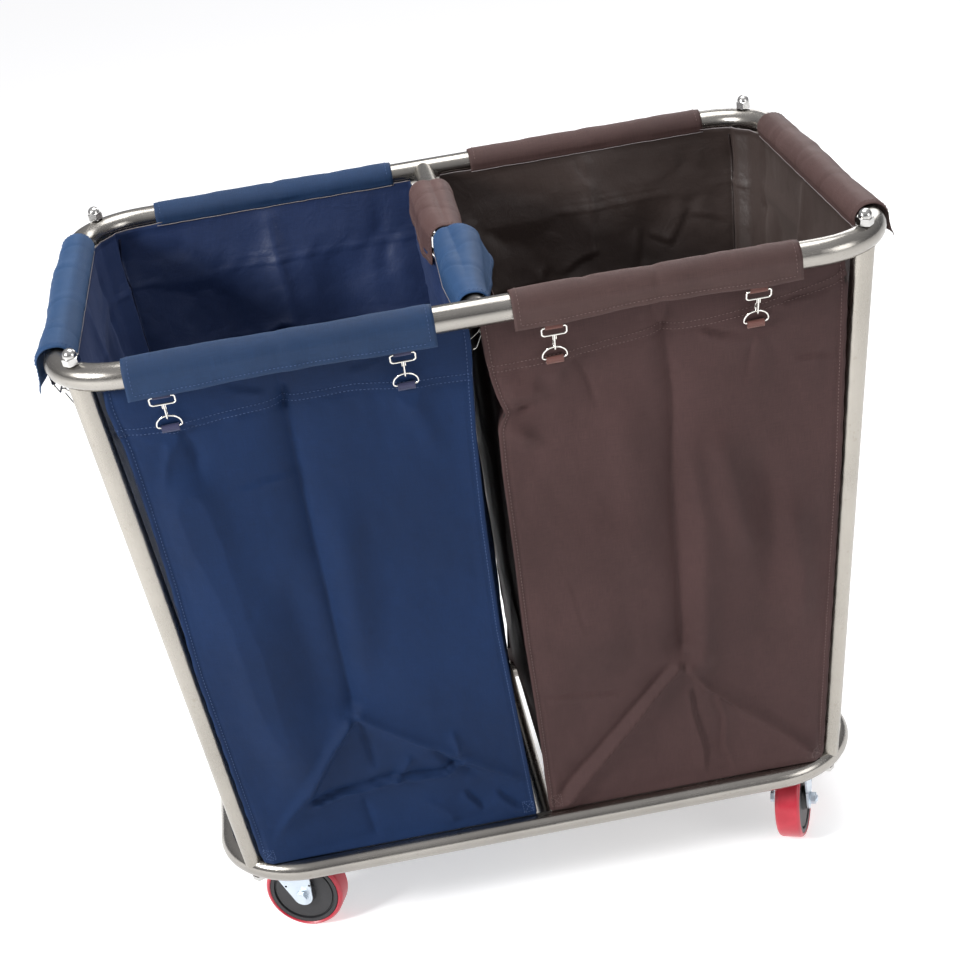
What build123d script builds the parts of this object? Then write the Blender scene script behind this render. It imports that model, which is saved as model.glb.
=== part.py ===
from build123d import *
import os
from collections import namedtuple
from math import atan2, cos, degrees, hypot, radians, sin

os.makedirs("parts", exist_ok=True)

# Two-bag linen trolley on four swivel casters.  Millimetres, +Z up, floor at z = 0.
# X runs along the length (left, blue bag at -X), the front is at -Y, and the origin is
# on the floor under the middle.  Every *_TUBE, *_R and WIRE value is an outer radius.

# ----------------------------------------------------------------------------
# Driving dimensions of the frame
# ----------------------------------------------------------------------------
# rings: round tube bent to a rounded rectangle, measured on the tube centreline
TOP_Z = 818.0
TOP_HALF_LENGTH = 445.0  # along X
TOP_HALF_WIDTH = 285.0   # along Y
TOP_BEND = 80.0
TOP_TUBE = 15.0

LOW_Z = 117.0
LOW_HALF_LENGTH = 390.3
LOW_HALF_WIDTH = 194.3
LOW_BEND = 100.0
LOW_TUBE = 13.5

WALL = 1.2               # wall of every tube
LEG_TUBE = 12.7
BAR_TUBE = 12.5          # top divider bar
LOW_BAR_TUBE = 11.0      # bottom cross tube
WELD_GAP = 0.12          # parting gap at every coped joint

STUD_R = 4.95            # M10 studs and foot bolts
STUD_FIT = 0.05          # radial clearance of inserts and cap nuts on the stud
STUD_HOLE_R = 5.3        # hole through the rings

# side signs (x, y) of each corner
CORNERS = {
    "front_left": (-1, -1),
    "front_right": (1, -1),
    "rear_right": (1, 1),
    "rear_left": (-1, 1),
}


def finish(builder, name):
    """Label a part and write its STEP file."""
    builder.part.label = name
    export_step(builder.part, f"parts/{name}.step")


def place(name, master, locations):
    """Write one part made of copies of a master."""
    with BuildPart() as copies:
        with Locations(*locations):
            add(master.part)
    finish(copies, name)


# ----------------------------------------------------------------------------
# Leg axes: each joins the middles of a top and a bottom ring bend
# ----------------------------------------------------------------------------
def bend_middle(half_x, half_y, bend):
    """Middle of the bend of a rounded rectangle, first quadrant."""
    inset = bend * (1 - cos(radians(45)))
    return half_x - inset, half_y - inset


HEAD_X, HEAD_Y = bend_middle(TOP_HALF_LENGTH, TOP_HALF_WIDTH, TOP_BEND)
FOOT_X, FOOT_Y = bend_middle(LOW_HALF_LENGTH, LOW_HALF_WIDTH, LOW_BEND)
LEG_LENGTH = hypot(HEAD_X - FOOT_X, HEAD_Y - FOOT_Y, TOP_Z - LOW_Z)


def leg_at(z):
    """Leg axis (x, y) at height z, first quadrant."""
    fraction = (TOP_Z - z) / (TOP_Z - LOW_Z)
    return HEAD_X + (FOOT_X - HEAD_X) * fraction, HEAD_Y + (FOOT_Y - HEAD_Y) * fraction


def leg_planes(side_x, side_y):
    """Planes square to a leg at its head and foot, normals pointing up the leg."""
    head = Vector(side_x * HEAD_X, side_y * HEAD_Y, TOP_Z)
    foot = Vector(side_x * FOOT_X, side_y * FOOT_Y, LOW_Z)
    up_leg = (head - foot).normalized()
    across = Vector(-side_y, side_x, 0)
    return [Plane(origin=end, x_dir=across, z_dir=up_leg) for end in (head, foot)]


LEG_HEADS, LEG_FEET = zip(*[leg_planes(*sides) for sides in CORNERS.values()])


# ----------------------------------------------------------------------------
# Rings
# ----------------------------------------------------------------------------
def start_plane(path):
    """Plane across the start of a path, for the section swept along it."""
    return Plane(origin=path.line @ 0, z_dir=path.line % 0)


def ring_envelope(half_x, half_y, bend, z, tube):
    """Centreline of a ring, and the solid that copes the tubes meeting it."""
    with BuildPart() as envelope:
        with BuildLine(Plane.XY.offset(z)) as path:
            FilletPolyline(
                (-half_x, -half_y), (half_x, -half_y), (half_x, half_y), (-half_x, half_y),
                radius=bend, close=True,
            )
        with BuildSketch(start_plane(path)):
            Circle(tube + WELD_GAP)
        sweep(path=path.wires()[0])
    return path, envelope.part


top_path, top_envelope = ring_envelope(
    TOP_HALF_LENGTH, TOP_HALF_WIDTH, TOP_BEND, TOP_Z, TOP_TUBE)
low_path, low_envelope = ring_envelope(
    LOW_HALF_LENGTH, LOW_HALF_WIDTH, LOW_BEND, LOW_Z, LOW_TUBE)


def make_ring(name, path, tube, leg_ends):
    """Hollow ring, drilled along the leg axes."""
    with BuildPart() as ring:
        with BuildSketch(start_plane(path)):
            Circle(tube)
        sweep(path=path.wires()[0])
        with BuildSketch(start_plane(path)):
            Circle(tube - WALL)
        sweep(path=path.wires()[0], mode=Mode.SUBTRACT)
        for leg_end in leg_ends:
            with BuildSketch(leg_end):
                Circle(STUD_HOLE_R)
            extrude(amount=tube + 4, both=True, mode=Mode.SUBTRACT)
    finish(ring, name)


make_ring("top_ring", top_path, TOP_TUBE, LEG_HEADS)
make_ring("bottom_ring", low_path, LOW_TUBE, LEG_FEET)


# ----------------------------------------------------------------------------
# Crossbars and legs, coped to the rings
# ----------------------------------------------------------------------------
def make_crossbar(name, tube, half_width, z, envelope):
    """Tube along Y between the long rails of a ring."""
    with BuildPart() as crossbar:
        with BuildSketch(Plane(origin=(0, 0, z), x_dir=(1, 0, 0), z_dir=(0, 1, 0))):
            Circle(tube)
            Circle(tube - WALL, mode=Mode.SUBTRACT)
        extrude(amount=half_width, both=True)
        add(envelope, mode=Mode.SUBTRACT)
    finish(crossbar, name)


make_crossbar("top_crossbar", BAR_TUBE, TOP_HALF_WIDTH, TOP_Z, top_envelope)
make_crossbar("bottom_crossbar", LOW_BAR_TUBE, LOW_HALF_WIDTH, LOW_Z, low_envelope)

for corner, foot_plane in zip(CORNERS, LEG_FEET):
    with BuildPart() as leg:
        with BuildSketch(foot_plane):
            Circle(LEG_TUBE)
            Circle(LEG_TUBE - WALL, mode=Mode.SUBTRACT)
        extrude(amount=LEG_LENGTH)
        add(top_envelope, mode=Mode.SUBTRACT)
        add(low_envelope, mode=Mode.SUBTRACT)
    finish(leg, f"leg_{corner}")

# ----------------------------------------------------------------------------
# Leg fasteners
# ----------------------------------------------------------------------------
INSERT_R = LEG_TUBE - WALL - 0.1
INSERT_LENGTH = 20
TOP_INSERT_START = -42   # from the leg head, up the leg
LOW_INSERT_START = 21    # from the leg foot, up the leg
SEAT_GAP = 0.55          # ring tube to nut or bolt head


def make_inserts(name, leg_ends, start):
    """Threaded inserts welded inside the leg ends."""
    with BuildPart() as inserts:
        for leg_end in leg_ends:
            with BuildSketch(leg_end.offset(start)):
                Circle(INSERT_R)
                Circle(STUD_R + STUD_FIT, mode=Mode.SUBTRACT)
            extrude(amount=INSERT_LENGTH)
    finish(inserts, name)


make_inserts("leg_top_inserts", LEG_HEADS, TOP_INSERT_START)
make_inserts("leg_bottom_inserts", LEG_FEET, LOW_INSERT_START)

# studs through the top ring
NUT_BASE = TOP_TUBE + SEAT_GAP
STUD_DEPTH = 40          # below the ring centreline
STUD_IN_NUT = 9
with BuildPart() as top_studs:
    for head_plane in LEG_HEADS:
        with BuildSketch(head_plane.offset(-STUD_DEPTH)):
            Circle(STUD_R)
        extrude(amount=STUD_DEPTH + NUT_BASE + STUD_IN_NUT)
    chamfer(top_studs.edges().filter_by(GeomType.CIRCLE), length=0.8)
finish(top_studs, "top_studs")

# domed cap nuts, drawn with the seat on z = 0
NUT_H = 8.2
NUT_APOTHEM = 8.5
DOME_R = 7.6
DOME_LOW, DOME_CENTRE = 8.0, 9.4
with BuildPart() as cap_nut_master:
    with BuildSketch():
        RegularPolygon(radius=NUT_APOTHEM, side_count=6, major_radius=False)
    extrude(amount=NUT_H)
    # bevel the upper corners of the hexagon
    with BuildSketch(Plane.XZ):
        with BuildLine():
            Polyline((0, 0), (9.9, 0), (9.9, 7.0), (8.4, NUT_H), (0, NUT_H), close=True)
        make_face()
    revolve(axis=Axis.Z, mode=Mode.INTERSECT)
    with BuildSketch(Plane.XZ):
        with BuildLine():
            Polyline(
                (0, DOME_CENTRE + DOME_R), (0, DOME_LOW), (DOME_R, DOME_LOW),
                (DOME_R, DOME_CENTRE),
            )
            CenterArc((0, DOME_CENTRE), DOME_R, 0, 90)
        make_face()
    revolve(axis=Axis.Z)
    with BuildSketch():
        Circle(STUD_R + STUD_FIT)
    extrude(amount=10.5, mode=Mode.SUBTRACT)

place("cap_nuts", cap_nut_master, [head.offset(NUT_BASE).location for head in LEG_HEADS])

# hexagon bolts up through the bottom ring into the legs
HEAD_BASE = LOW_TUBE + SEAT_GAP
HEAD_H = 6.0
HEAD_APOTHEM = 8.0
BOLT_REACH = 38          # above the ring centreline
with BuildPart() as foot_bolts:
    for foot_plane in LEG_FEET:
        head_bottom = foot_plane.offset(-HEAD_BASE - HEAD_H)
        with BuildSketch(head_bottom):
            RegularPolygon(radius=HEAD_APOTHEM, side_count=6, major_radius=False)
        extrude(amount=HEAD_H)
        with BuildSketch(head_bottom):
            Circle(STUD_R)
        extrude(amount=HEAD_H + HEAD_BASE + BOLT_REACH)
finish(foot_bolts, "foot_bolts")

# ----------------------------------------------------------------------------
# Corner plates inside the bottom ring
# ----------------------------------------------------------------------------
KING_X, KING_Y = 325.0, 127.0        # swivel axes
# direction each wheel trails in, degrees counter-clockwise from +X
TRAIL_ANGLES = {
    "front_left": -20.0,
    "front_right": -114.0,
    "rear_left": 14.0,
    "rear_right": -35.0,
}
KING_SPOTS = {
    corner: (CORNERS[corner][0] * KING_X, CORNERS[corner][1] * KING_Y)
    for corner in TRAIL_ANGLES
}

MOUNT_LOW, MOUNT_TOP = 124.9, 127.9
MOUNT_X, MOUNT_Y, MOUNT_SIDE = 345, 145, 150    # square that cuts out one corner
HOLE_DX, HOLE_DY = 25.0, 17.0        # plate holes from the swivel axis
PLATE_HOLE_R = 3.3

with BuildPart() as caster_mount_plates:
    for side_x, side_y in CORNERS.values():
        with BuildSketch(Plane.XY.offset(MOUNT_LOW)):
            RectangleRounded(2 * LOW_HALF_LENGTH, 2 * LOW_HALF_WIDTH, LOW_BEND)
            with Locations((side_x * MOUNT_X, side_y * MOUNT_Y)):
                Rectangle(MOUNT_SIDE, MOUNT_SIDE, mode=Mode.INTERSECT)
            with Locations((side_x * KING_X, side_y * KING_Y)):
                with GridLocations(2 * HOLE_DX, 2 * HOLE_DY, 2, 2):
                    Circle(PLATE_HOLE_R, mode=Mode.SUBTRACT)
        extrude(amount=MOUNT_TOP - MOUNT_LOW)
    add(low_envelope, mode=Mode.SUBTRACT)
    for foot_plane in LEG_FEET:
        with BuildSketch(foot_plane):
            Circle(LEG_TUBE + WELD_GAP)
        extrude(amount=60, mode=Mode.SUBTRACT)
finish(caster_mount_plates, "caster_mount_plates")

# ----------------------------------------------------------------------------
# Casters' fixed hardware, drawn once at floor height zero with the swivel axis on Z
# ----------------------------------------------------------------------------
RACE_R, BALL_R, BALL_Z = 18.0, 2.5, 116.5
GROOVE_R = BALL_R + 0.05
BALL_COUNT = 12
PLATE_LOW, PLATE_T = 122.3, 2.5
BOSS_LOW, BOSS_H, BOSS_R = 118.0, 4.4, 23.5
KINGPIN_R, KINGPIN_FLANGE_R = 6, 9

# top plate: pressed plate with a bearing boss and a ball groove
with BuildPart() as top_plate_master:
    with BuildSketch(Plane.XY.offset(PLATE_LOW)):
        RectangleRounded(66, 50, 7)
        with GridLocations(2 * HOLE_DX, 2 * HOLE_DY, 2, 2):
            Circle(PLATE_HOLE_R, mode=Mode.SUBTRACT)
    extrude(amount=PLATE_T)
    with BuildSketch(Plane.XY.offset(BOSS_LOW)):
        Circle(BOSS_R)
    extrude(amount=BOSS_H)
    # bore for the kingpin, then the recess for its upper flange
    with BuildSketch(Plane.XY.offset(BOSS_LOW)):
        Circle(KINGPIN_R + 0.05)
    extrude(amount=8, mode=Mode.SUBTRACT)
    with BuildSketch(Plane.XY.offset(PLATE_LOW)):
        Circle(KINGPIN_FLANGE_R + 0.1)
    extrude(amount=8, mode=Mode.SUBTRACT)
    with BuildSketch(Plane.XZ):
        with Locations((RACE_R, BALL_Z)):
            Circle(GROOVE_R)
    revolve(axis=Axis.Z, mode=Mode.SUBTRACT)

# radius, z
KINGPIN_PROFILE = [
    (0, 107.4), (KINGPIN_FLANGE_R, 107.4), (KINGPIN_FLANGE_R, 111.9), (KINGPIN_R, 111.9),
    (KINGPIN_R, 122.4), (KINGPIN_FLANGE_R, 122.4), (KINGPIN_FLANGE_R, 124.7), (0, 124.7),
]
with BuildPart() as kingpin_master:
    with BuildSketch(Plane.XZ):
        Polygon(*KINGPIN_PROFILE, align=None)
    revolve(axis=Axis.Z)
    chamfer(kingpin_master.edges().group_by(Axis.Z)[0], length=1.0)

with BuildPart() as ball_master:
    with PolarLocations(RACE_R, BALL_COUNT):
        with Locations((0, 0, BALL_Z)):
            Sphere(BALL_R)

# plate bolt: point down, domed head above the corner plate
BOLT_R, BOLT_LOW = 2.95, 117.2
BOLT_SEAT = MOUNT_TOP + 0.05
BOLT_HEAD_R, BOLT_RIM_Z = 5.2, 129.0
CROWN_DROP = 5.0                     # dome centre below the head's rim
BOLT_DOME_Z = BOLT_RIM_Z - CROWN_DROP
BOLT_DOME_R = hypot(BOLT_HEAD_R, CROWN_DROP)
RIM_ANGLE = degrees(atan2(CROWN_DROP, BOLT_HEAD_R))
with BuildPart() as plate_bolt_master:
    with BuildSketch(Plane.XZ):
        with BuildLine():
            Polyline(
                (0, BOLT_DOME_Z + BOLT_DOME_R), (0, BOLT_LOW), (2.5, BOLT_LOW),
                (BOLT_R, 117.7), (BOLT_R, BOLT_SEAT), (BOLT_HEAD_R, BOLT_SEAT),
                (BOLT_HEAD_R, BOLT_RIM_Z),
            )
            CenterArc((0, BOLT_DOME_Z), BOLT_DOME_R, RIM_ANGLE, 90 - RIM_ANGLE)
        make_face()
    revolve(axis=Axis.Z)

PLATE_NUT_LOW, PLATE_NUT_H = 118.2, 4.0
with BuildPart() as plate_nut_master:
    with BuildSketch(Plane.XY.offset(PLATE_NUT_LOW)):
        RegularPolygon(radius=5.0, side_count=6, major_radius=False, rotation=30)
        Circle(BOLT_R + 0.05, mode=Mode.SUBTRACT)
    extrude(amount=PLATE_NUT_H)

BOLT_SPOTS = [
    (x + dx, y + dy)
    for x, y in KING_SPOTS.values()
    for dx in (-HOLE_DX, HOLE_DX)
    for dy in (-HOLE_DY, HOLE_DY)
]

place("caster_top_plates", top_plate_master, KING_SPOTS.values())
place("caster_kingpins", kingpin_master, KING_SPOTS.values())
place("swivel_balls", ball_master, KING_SPOTS.values())
place("plate_bolts", plate_bolt_master, BOLT_SPOTS)
place("plate_nuts", plate_nut_master, BOLT_SPOTS)

# ----------------------------------------------------------------------------
# Casters' moving parts, drawn once with the swivel axis on Z and trailing to +X
# ----------------------------------------------------------------------------
TRAIL = 18.0                         # swivel axis to axle
WHEEL_R = 50.0
FORK_IN, FORK_T = 19.0, 2.5          # inner face from the middle, cheek thickness
FORK_HALF = FORK_IN + FORK_T
CROWN_LOW, CROWN_TOP = 112.0, 115.0
CROWN_R = 27.5
AXLE_R = 4.0
AXLE_HOLE_R = 4.15
AXLE_FIT_R = AXLE_R + 0.05           # bore of nut and bush

with BuildPart() as fork_master:
    # side profile as a full-width block, hollowed below the crown
    with BuildSketch(Plane.XZ.offset(-FORK_HALF)):
        with BuildLine():
            Polyline((-24, CROWN_TOP), (30, CROWN_TOP), (32.0, 88), (31.0, 50.0))
            ThreePointArc((31.0, 50.0), (TRAIL + 1.5, 36.5), (7.0, 44.0))
            Polyline((7.0, 44.0), (-22, 96), (-24, CROWN_TOP))
        make_face()
    extrude(amount=2 * FORK_HALF)
    with BuildSketch(Plane.XZ.offset(-FORK_IN)):
        with BuildLine():
            Polyline((-60, 20), (-60, CROWN_LOW), (60, CROWN_LOW), (60, 20), close=True)
        make_face()
    extrude(amount=2 * FORK_IN, mode=Mode.SUBTRACT)
    with BuildSketch(Plane.XY.offset(CROWN_LOW)):
        Circle(CROWN_R)
    extrude(amount=CROWN_TOP - CROWN_LOW)
    with BuildSketch(Plane.XY.offset(CROWN_LOW - 1)):
        Circle(KINGPIN_R + 0.06)
    extrude(amount=6, mode=Mode.SUBTRACT)
    with BuildSketch(Plane.XZ):
        with Locations((RACE_R, BALL_Z)):
            Circle(GROOVE_R)
    revolve(axis=Axis.Z, mode=Mode.SUBTRACT)
    with BuildSketch(Plane.XZ):
        with Locations((TRAIL, WHEEL_R)):
            Circle(AXLE_HOLE_R)
    extrude(amount=40, both=True, mode=Mode.SUBTRACT)
    # two small holes through each cheek
    with BuildSketch(Plane.XZ):
        with Locations((TRAIL - 19, 64), (TRAIL + 12, 66)):
            Circle(1.6)
    extrude(amount=40, both=True, mode=Mode.SUBTRACT)

# the bolt head is on the plane's +Z side, which is -Y
AXLE = Plane(origin=(TRAIL, 0, WHEEL_R), x_dir=(1, 0, 0), z_dir=(0, -1, 0))
WASHER_R, WASHER_T = 8.0, 1.4
WASHER_BASE = FORK_HALF + 0.1
HEX_BASE = FORK_HALF + WASHER_T
HEX_APOTHEM = 6.5
AXLE_HEAD_H, AXLE_NUT_H = 5.3, 6.5
AXLE_TAIL = 10.0                     # shank beyond the fork on the nut side

with BuildPart() as axle_bolt_master:
    with BuildSketch(AXLE.offset(WASHER_BASE)):
        Circle(WASHER_R)
    extrude(amount=WASHER_T)
    with BuildSketch(AXLE.offset(HEX_BASE)):
        RegularPolygon(radius=HEX_APOTHEM, side_count=6, major_radius=False)
    extrude(amount=AXLE_HEAD_H)
    # the shank runs 2 mm past the fork on the head side, to join the head
    with BuildSketch(AXLE.offset(-(FORK_HALF + AXLE_TAIL))):
        Circle(AXLE_R)
    extrude(amount=2 * FORK_HALF + AXLE_TAIL + 2)
    chamfer(axle_bolt_master.edges().group_by(Axis.Y)[-1], length=0.8)

with BuildPart() as axle_nut_master:
    with BuildSketch(AXLE.offset(-WASHER_BASE)):
        Circle(WASHER_R)
        Circle(AXLE_FIT_R, mode=Mode.SUBTRACT)
    extrude(amount=-WASHER_T)
    with BuildSketch(AXLE.offset(-HEX_BASE)):
        RegularPolygon(radius=HEX_APOTHEM, side_count=6, major_radius=False)
        Circle(AXLE_FIT_R, mode=Mode.SUBTRACT)
    extrude(amount=-AXLE_NUT_H)

BUSH_R = 6.0
BUSH_HALF = FORK_IN - 0.05
with BuildPart() as wheel_bush_master:
    with BuildSketch(AXLE.offset(-BUSH_HALF)):
        Circle(BUSH_R)
        Circle(AXLE_FIT_R, mode=Mode.SUBTRACT)
    extrude(amount=2 * BUSH_HALF)

# wheel core and tread are drawn about the Y axis through the origin
CORE_R = 44.5
# radius, half width, from the bore outward
CORE_PROFILE = [
    (BUSH_R + 0.06, 18), (14, 18), (16, 13.5), (36.5, 13.5), (37.2, 11.8), (38.6, 11.8),
    (39.4, 14.6), (CORE_R - 1, 15), (CORE_R, 14),
]
with BuildPart() as wheel_core_master:
    with BuildSketch(Plane.XY):
        with BuildLine():
            Polyline(
                *[(radius, -half) for radius, half in CORE_PROFILE],
                *reversed(CORE_PROFILE),
                close=True,
            )
        make_face()
    revolve(axis=Axis.Y)

TREAD_IN_R = CORE_R + 0.05
TREAD_IN_HALF, TREAD_FLAT_HALF = 14.5, 10.0
SHOULDER_R, SHOULDER_HALF = 46.0, 15.6
ROUND_R, ROUND_HALF = 48.9, 13.6     # middle point of the rounded shoulder
with BuildPart() as wheel_tread_master:
    with BuildSketch(Plane.XY):
        with BuildLine():
            Line((TREAD_IN_R, -TREAD_IN_HALF), (TREAD_IN_R, TREAD_IN_HALF))
            Line((TREAD_IN_R, TREAD_IN_HALF), (SHOULDER_R, SHOULDER_HALF))
            ThreePointArc(
                (SHOULDER_R, SHOULDER_HALF), (ROUND_R, ROUND_HALF), (WHEEL_R, TREAD_FLAT_HALF))
            Line((WHEEL_R, TREAD_FLAT_HALF), (WHEEL_R, -TREAD_FLAT_HALF))
            ThreePointArc(
                (WHEEL_R, -TREAD_FLAT_HALF), (ROUND_R, -ROUND_HALF),
                (SHOULDER_R, -SHOULDER_HALF))
            Line((SHOULDER_R, -SHOULDER_HALF), (TREAD_IN_R, -TREAD_IN_HALF))
        make_face()
    revolve(axis=Axis.Y)

for corner, trail_angle in TRAIL_ANGLES.items():
    swivel = Location((*KING_SPOTS[corner], 0), (0, 0, trail_angle))
    hub = swivel * Location((TRAIL, 0, WHEEL_R))
    for piece_name, master, location in (
        ("fork", fork_master, swivel),
        ("axle_bolt", axle_bolt_master, swivel),
        ("axle_nut", axle_nut_master, swivel),
        ("wheel_bush", wheel_bush_master, swivel),
        ("wheel_core", wheel_core_master, hub),
        ("wheel_tread", wheel_tread_master, hub),
    ):
        place(f"{piece_name}_{corner}", master, [location])

# ----------------------------------------------------------------------------
# Bags: open-topped shells tapering downward, notched round the legs
# ----------------------------------------------------------------------------
BAG_TOP_Z, BAG_LOW_Z = 802.5, 133.0
CLOTH = 1.2
BAG_TOP_X, BAG_LOW_X = 429.5, 368.0  # outer face of the end wall
BAG_TOP_Y, BAG_LOW_Y = 269.5, 186.5  # outer face of the front and rear walls
# divider wall from x = 0: at its ends, and where it sags away from the bar
DIVIDER_TOP, DIVIDER_TOP_SAG = 16.5, 26.0
DIVIDER_LOW, DIVIDER_LOW_SAG = 10.0, 11.0


def bag_outline(z, wall_x, wall_y, near, sag):
    """Outline of the left bag at height z, counter-clockwise seen from above."""
    leg_x, leg_y = leg_at(z)
    notch_x, notch_in_x = -(leg_x - 13.6), -(leg_x - 16.5)
    return [
        (notch_x, -wall_y), (-near, -wall_y), (-near, -10), (-sag, 10), (-sag, wall_y - 35),
        (-near, wall_y), (notch_x, wall_y), (notch_in_x, leg_y - 8), (-wall_x, leg_y - 26),
        (-wall_x, -(leg_y - 26)), (notch_in_x, -(leg_y - 8)),
    ]


def half_turn(points):
    return [(-x, -y) for x, y in points]


def make_bag(name, top_points, low_points):
    with BuildPart() as bag:
        for z, points in ((BAG_LOW_Z, low_points), (BAG_TOP_Z, top_points)):
            with BuildSketch(Plane.XY.offset(z)):
                with BuildLine():
                    Polyline(*points, close=True)
                make_face()
        loft(ruled=True)
        # hollow it, leaving the floor and an open top
        for z, points in ((BAG_LOW_Z + CLOTH, low_points), (BAG_TOP_Z, top_points)):
            with BuildSketch(Plane.XY.offset(z)):
                with BuildLine():
                    Polyline(*points, close=True)
                make_face()
                offset(amount=-CLOTH, kind=Kind.INTERSECTION, mode=Mode.REPLACE)
        loft(ruled=True, mode=Mode.SUBTRACT)
    finish(bag, name)


BAG_TOP = bag_outline(BAG_TOP_Z, BAG_TOP_X, BAG_TOP_Y, DIVIDER_TOP, DIVIDER_TOP_SAG)
BAG_LOW = bag_outline(BAG_LOW_Z, BAG_LOW_X, BAG_LOW_Y, DIVIDER_LOW, DIVIDER_LOW_SAG)
make_bag("blue_bag", BAG_TOP, BAG_LOW)
make_bag("brown_bag", half_turn(BAG_TOP), half_turn(BAG_LOW))

# ----------------------------------------------------------------------------
# Flaps: cloth that leaves the bag, turns over a rail and hangs outside it
# ----------------------------------------------------------------------------
FLAP_CLEAR = 0.6         # cloth to tube
FLAP_DROP = 21.0         # hem below the tube centreline
HEM_IN = 2.6             # hem leans in under the rail

# rail axis point, outward normal, rail tube, (start, end) and hook stations along the rail
Flap = namedtuple("Flap", "axis outward tube span hooks")
FRONT = ((0, -TOP_HALF_WIDTH), (0, -1), TOP_TUBE)
REAR = ((0, TOP_HALF_WIDTH), (0, 1), TOP_TUBE)
LEFT_END = ((-TOP_HALF_LENGTH, 0), (-1, 0), TOP_TUBE)
RIGHT_END = ((TOP_HALF_LENGTH, 0), (1, 0), TOP_TUBE)
FLAPS = {
    "blue": {
        "front": Flap(*FRONT, (-372, -47), (-338, -85)),
        "rear": Flap(*REAR, (-349, -41), (-325, -66)),
        "end": Flap(*LEFT_END, (-212, 207), (-190, 185)),
        "divider": Flap((0, 0), (1, 0), BAR_TUBE, (-262, -20), (-215, -60)),
    },
    "brown": {
        "front": Flap(*FRONT, (35, 344), (76, 296)),
        "rear": Flap(*REAR, (61, 368), (88, 340)),
        "end": Flap(*RIGHT_END, (-210, 212), (-186, 188)),
        "divider": Flap((0, 0), (-1, 0), BAR_TUBE, (-15, 181), (30, 150)),
    },
}


def rail_point(flap, station, out=0):
    """(x, y) at a station along the rail, moved outward from its axis."""
    return tuple(
        centre + normal * out if normal else station
        for centre, normal in zip(flap.axis, flap.outward)
    )


def flap_frame(flap, station):
    """Plane across the rail at a station: x outward, y up, z along the rail."""
    normal_x, normal_y = flap.outward
    return Plane(
        origin=(*rail_point(flap, station), TOP_Z),
        x_dir=(normal_x, normal_y, 0),
        z_dir=(normal_y, -normal_x, 0),
    )


def heading(flap):
    """1 if the z of the flap's frame runs toward growing stations, else -1."""
    normal_x, normal_y = flap.outward
    return normal_y - normal_x


def make_flaps(colour, flaps):
    with BuildPart() as cloths:
        for flap in flaps:
            low, high = flap.span
            inner = flap.tube + FLAP_CLEAR
            outer = inner + CLOTH
            bag_edge = BAG_TOP_Z - TOP_Z + 0.2
            with BuildSketch(flap_frame(flap, low if heading(flap) > 0 else high)):
                with BuildLine():
                    Line((-inner, bag_edge), (-inner, 0))
                    ThreePointArc((-inner, 0), (0, inner), (inner, 0))
                    Polyline(
                        (inner, 0), (inner - HEM_IN, -FLAP_DROP),
                        (outer - HEM_IN, -FLAP_DROP), (outer, 0),
                    )
                    ThreePointArc((outer, 0), (0, outer), (-outer, 0))
                    Polyline((-outer, 0), (-outer, bag_edge), (-inner, bag_edge))
                make_face()
            extrude(amount=high - low)
    finish(cloths, f"{colour}_flaps")


for colour, sides in FLAPS.items():
    make_flaps(colour, sides.values())

# ----------------------------------------------------------------------------
# Snap hooks, gates and D rings, drawn once.
# Local frame: X along the rail, Y outward, Z up, origin on the eye's top bar.
# ----------------------------------------------------------------------------
WIRE = 1.1
EYE_HALF, EYE_H = 13.4, 12.0
HOOK_LENGTH = 33.0       # eye bar to the centre of the hook's bend
HOOK_BEND = 5.0
NOSE_Y, NOSE_Z = -2 * HOOK_BEND, -28.6
PIVOT_Y, PIVOT_Z = -2.9, -15.6       # gate pivot
PIN_R = 0.6
CHEEK_IN, CHEEK_T = 1.3, 0.9         # plates that carry the pin
# y, z
CHEEK_PROFILE = [
    (0.6, -13.0), (0.6, -18.6), (-3.6, -17.0), (-4.1, -15.6), (-3.6, -14.2), (-1.5, -12.6),
]

with BuildPart() as hook_master:
    with BuildLine(Plane.XZ) as eye:
        FilletPolyline(
            (EYE_HALF, -EYE_H), (EYE_HALF, 0), (-EYE_HALF, 0), (-EYE_HALF, -EYE_H),
            radius=3.4, close=True,
        )
    with BuildSketch(start_plane(eye)):
        Circle(WIRE)
    sweep(path=eye.wires()[0])
    with BuildLine(Plane.YZ) as stem:
        Line((0, -EYE_H + 0.2), (0, -HOOK_LENGTH))
        ThreePointArc(
            (0, -HOOK_LENGTH), (-HOOK_BEND, -HOOK_LENGTH - HOOK_BEND), (NOSE_Y, -HOOK_LENGTH))
        Line((NOSE_Y, -HOOK_LENGTH), (NOSE_Y, NOSE_Z))
    with BuildSketch(start_plane(stem)):
        Circle(WIRE)
    sweep(path=stem.wires()[0])
    for cheek_x in (CHEEK_IN, -(CHEEK_IN + CHEEK_T)):
        with BuildSketch(Plane.YZ.offset(cheek_x)):
            with BuildLine():
                Polyline(*CHEEK_PROFILE, close=True)
            make_face()
        extrude(amount=CHEEK_T)
    with BuildSketch(Plane.YZ.offset(-2.0)):
        with Locations((PIVOT_Y, PIVOT_Z)):
            Circle(PIN_R)
    extrude(amount=4.0)

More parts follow.
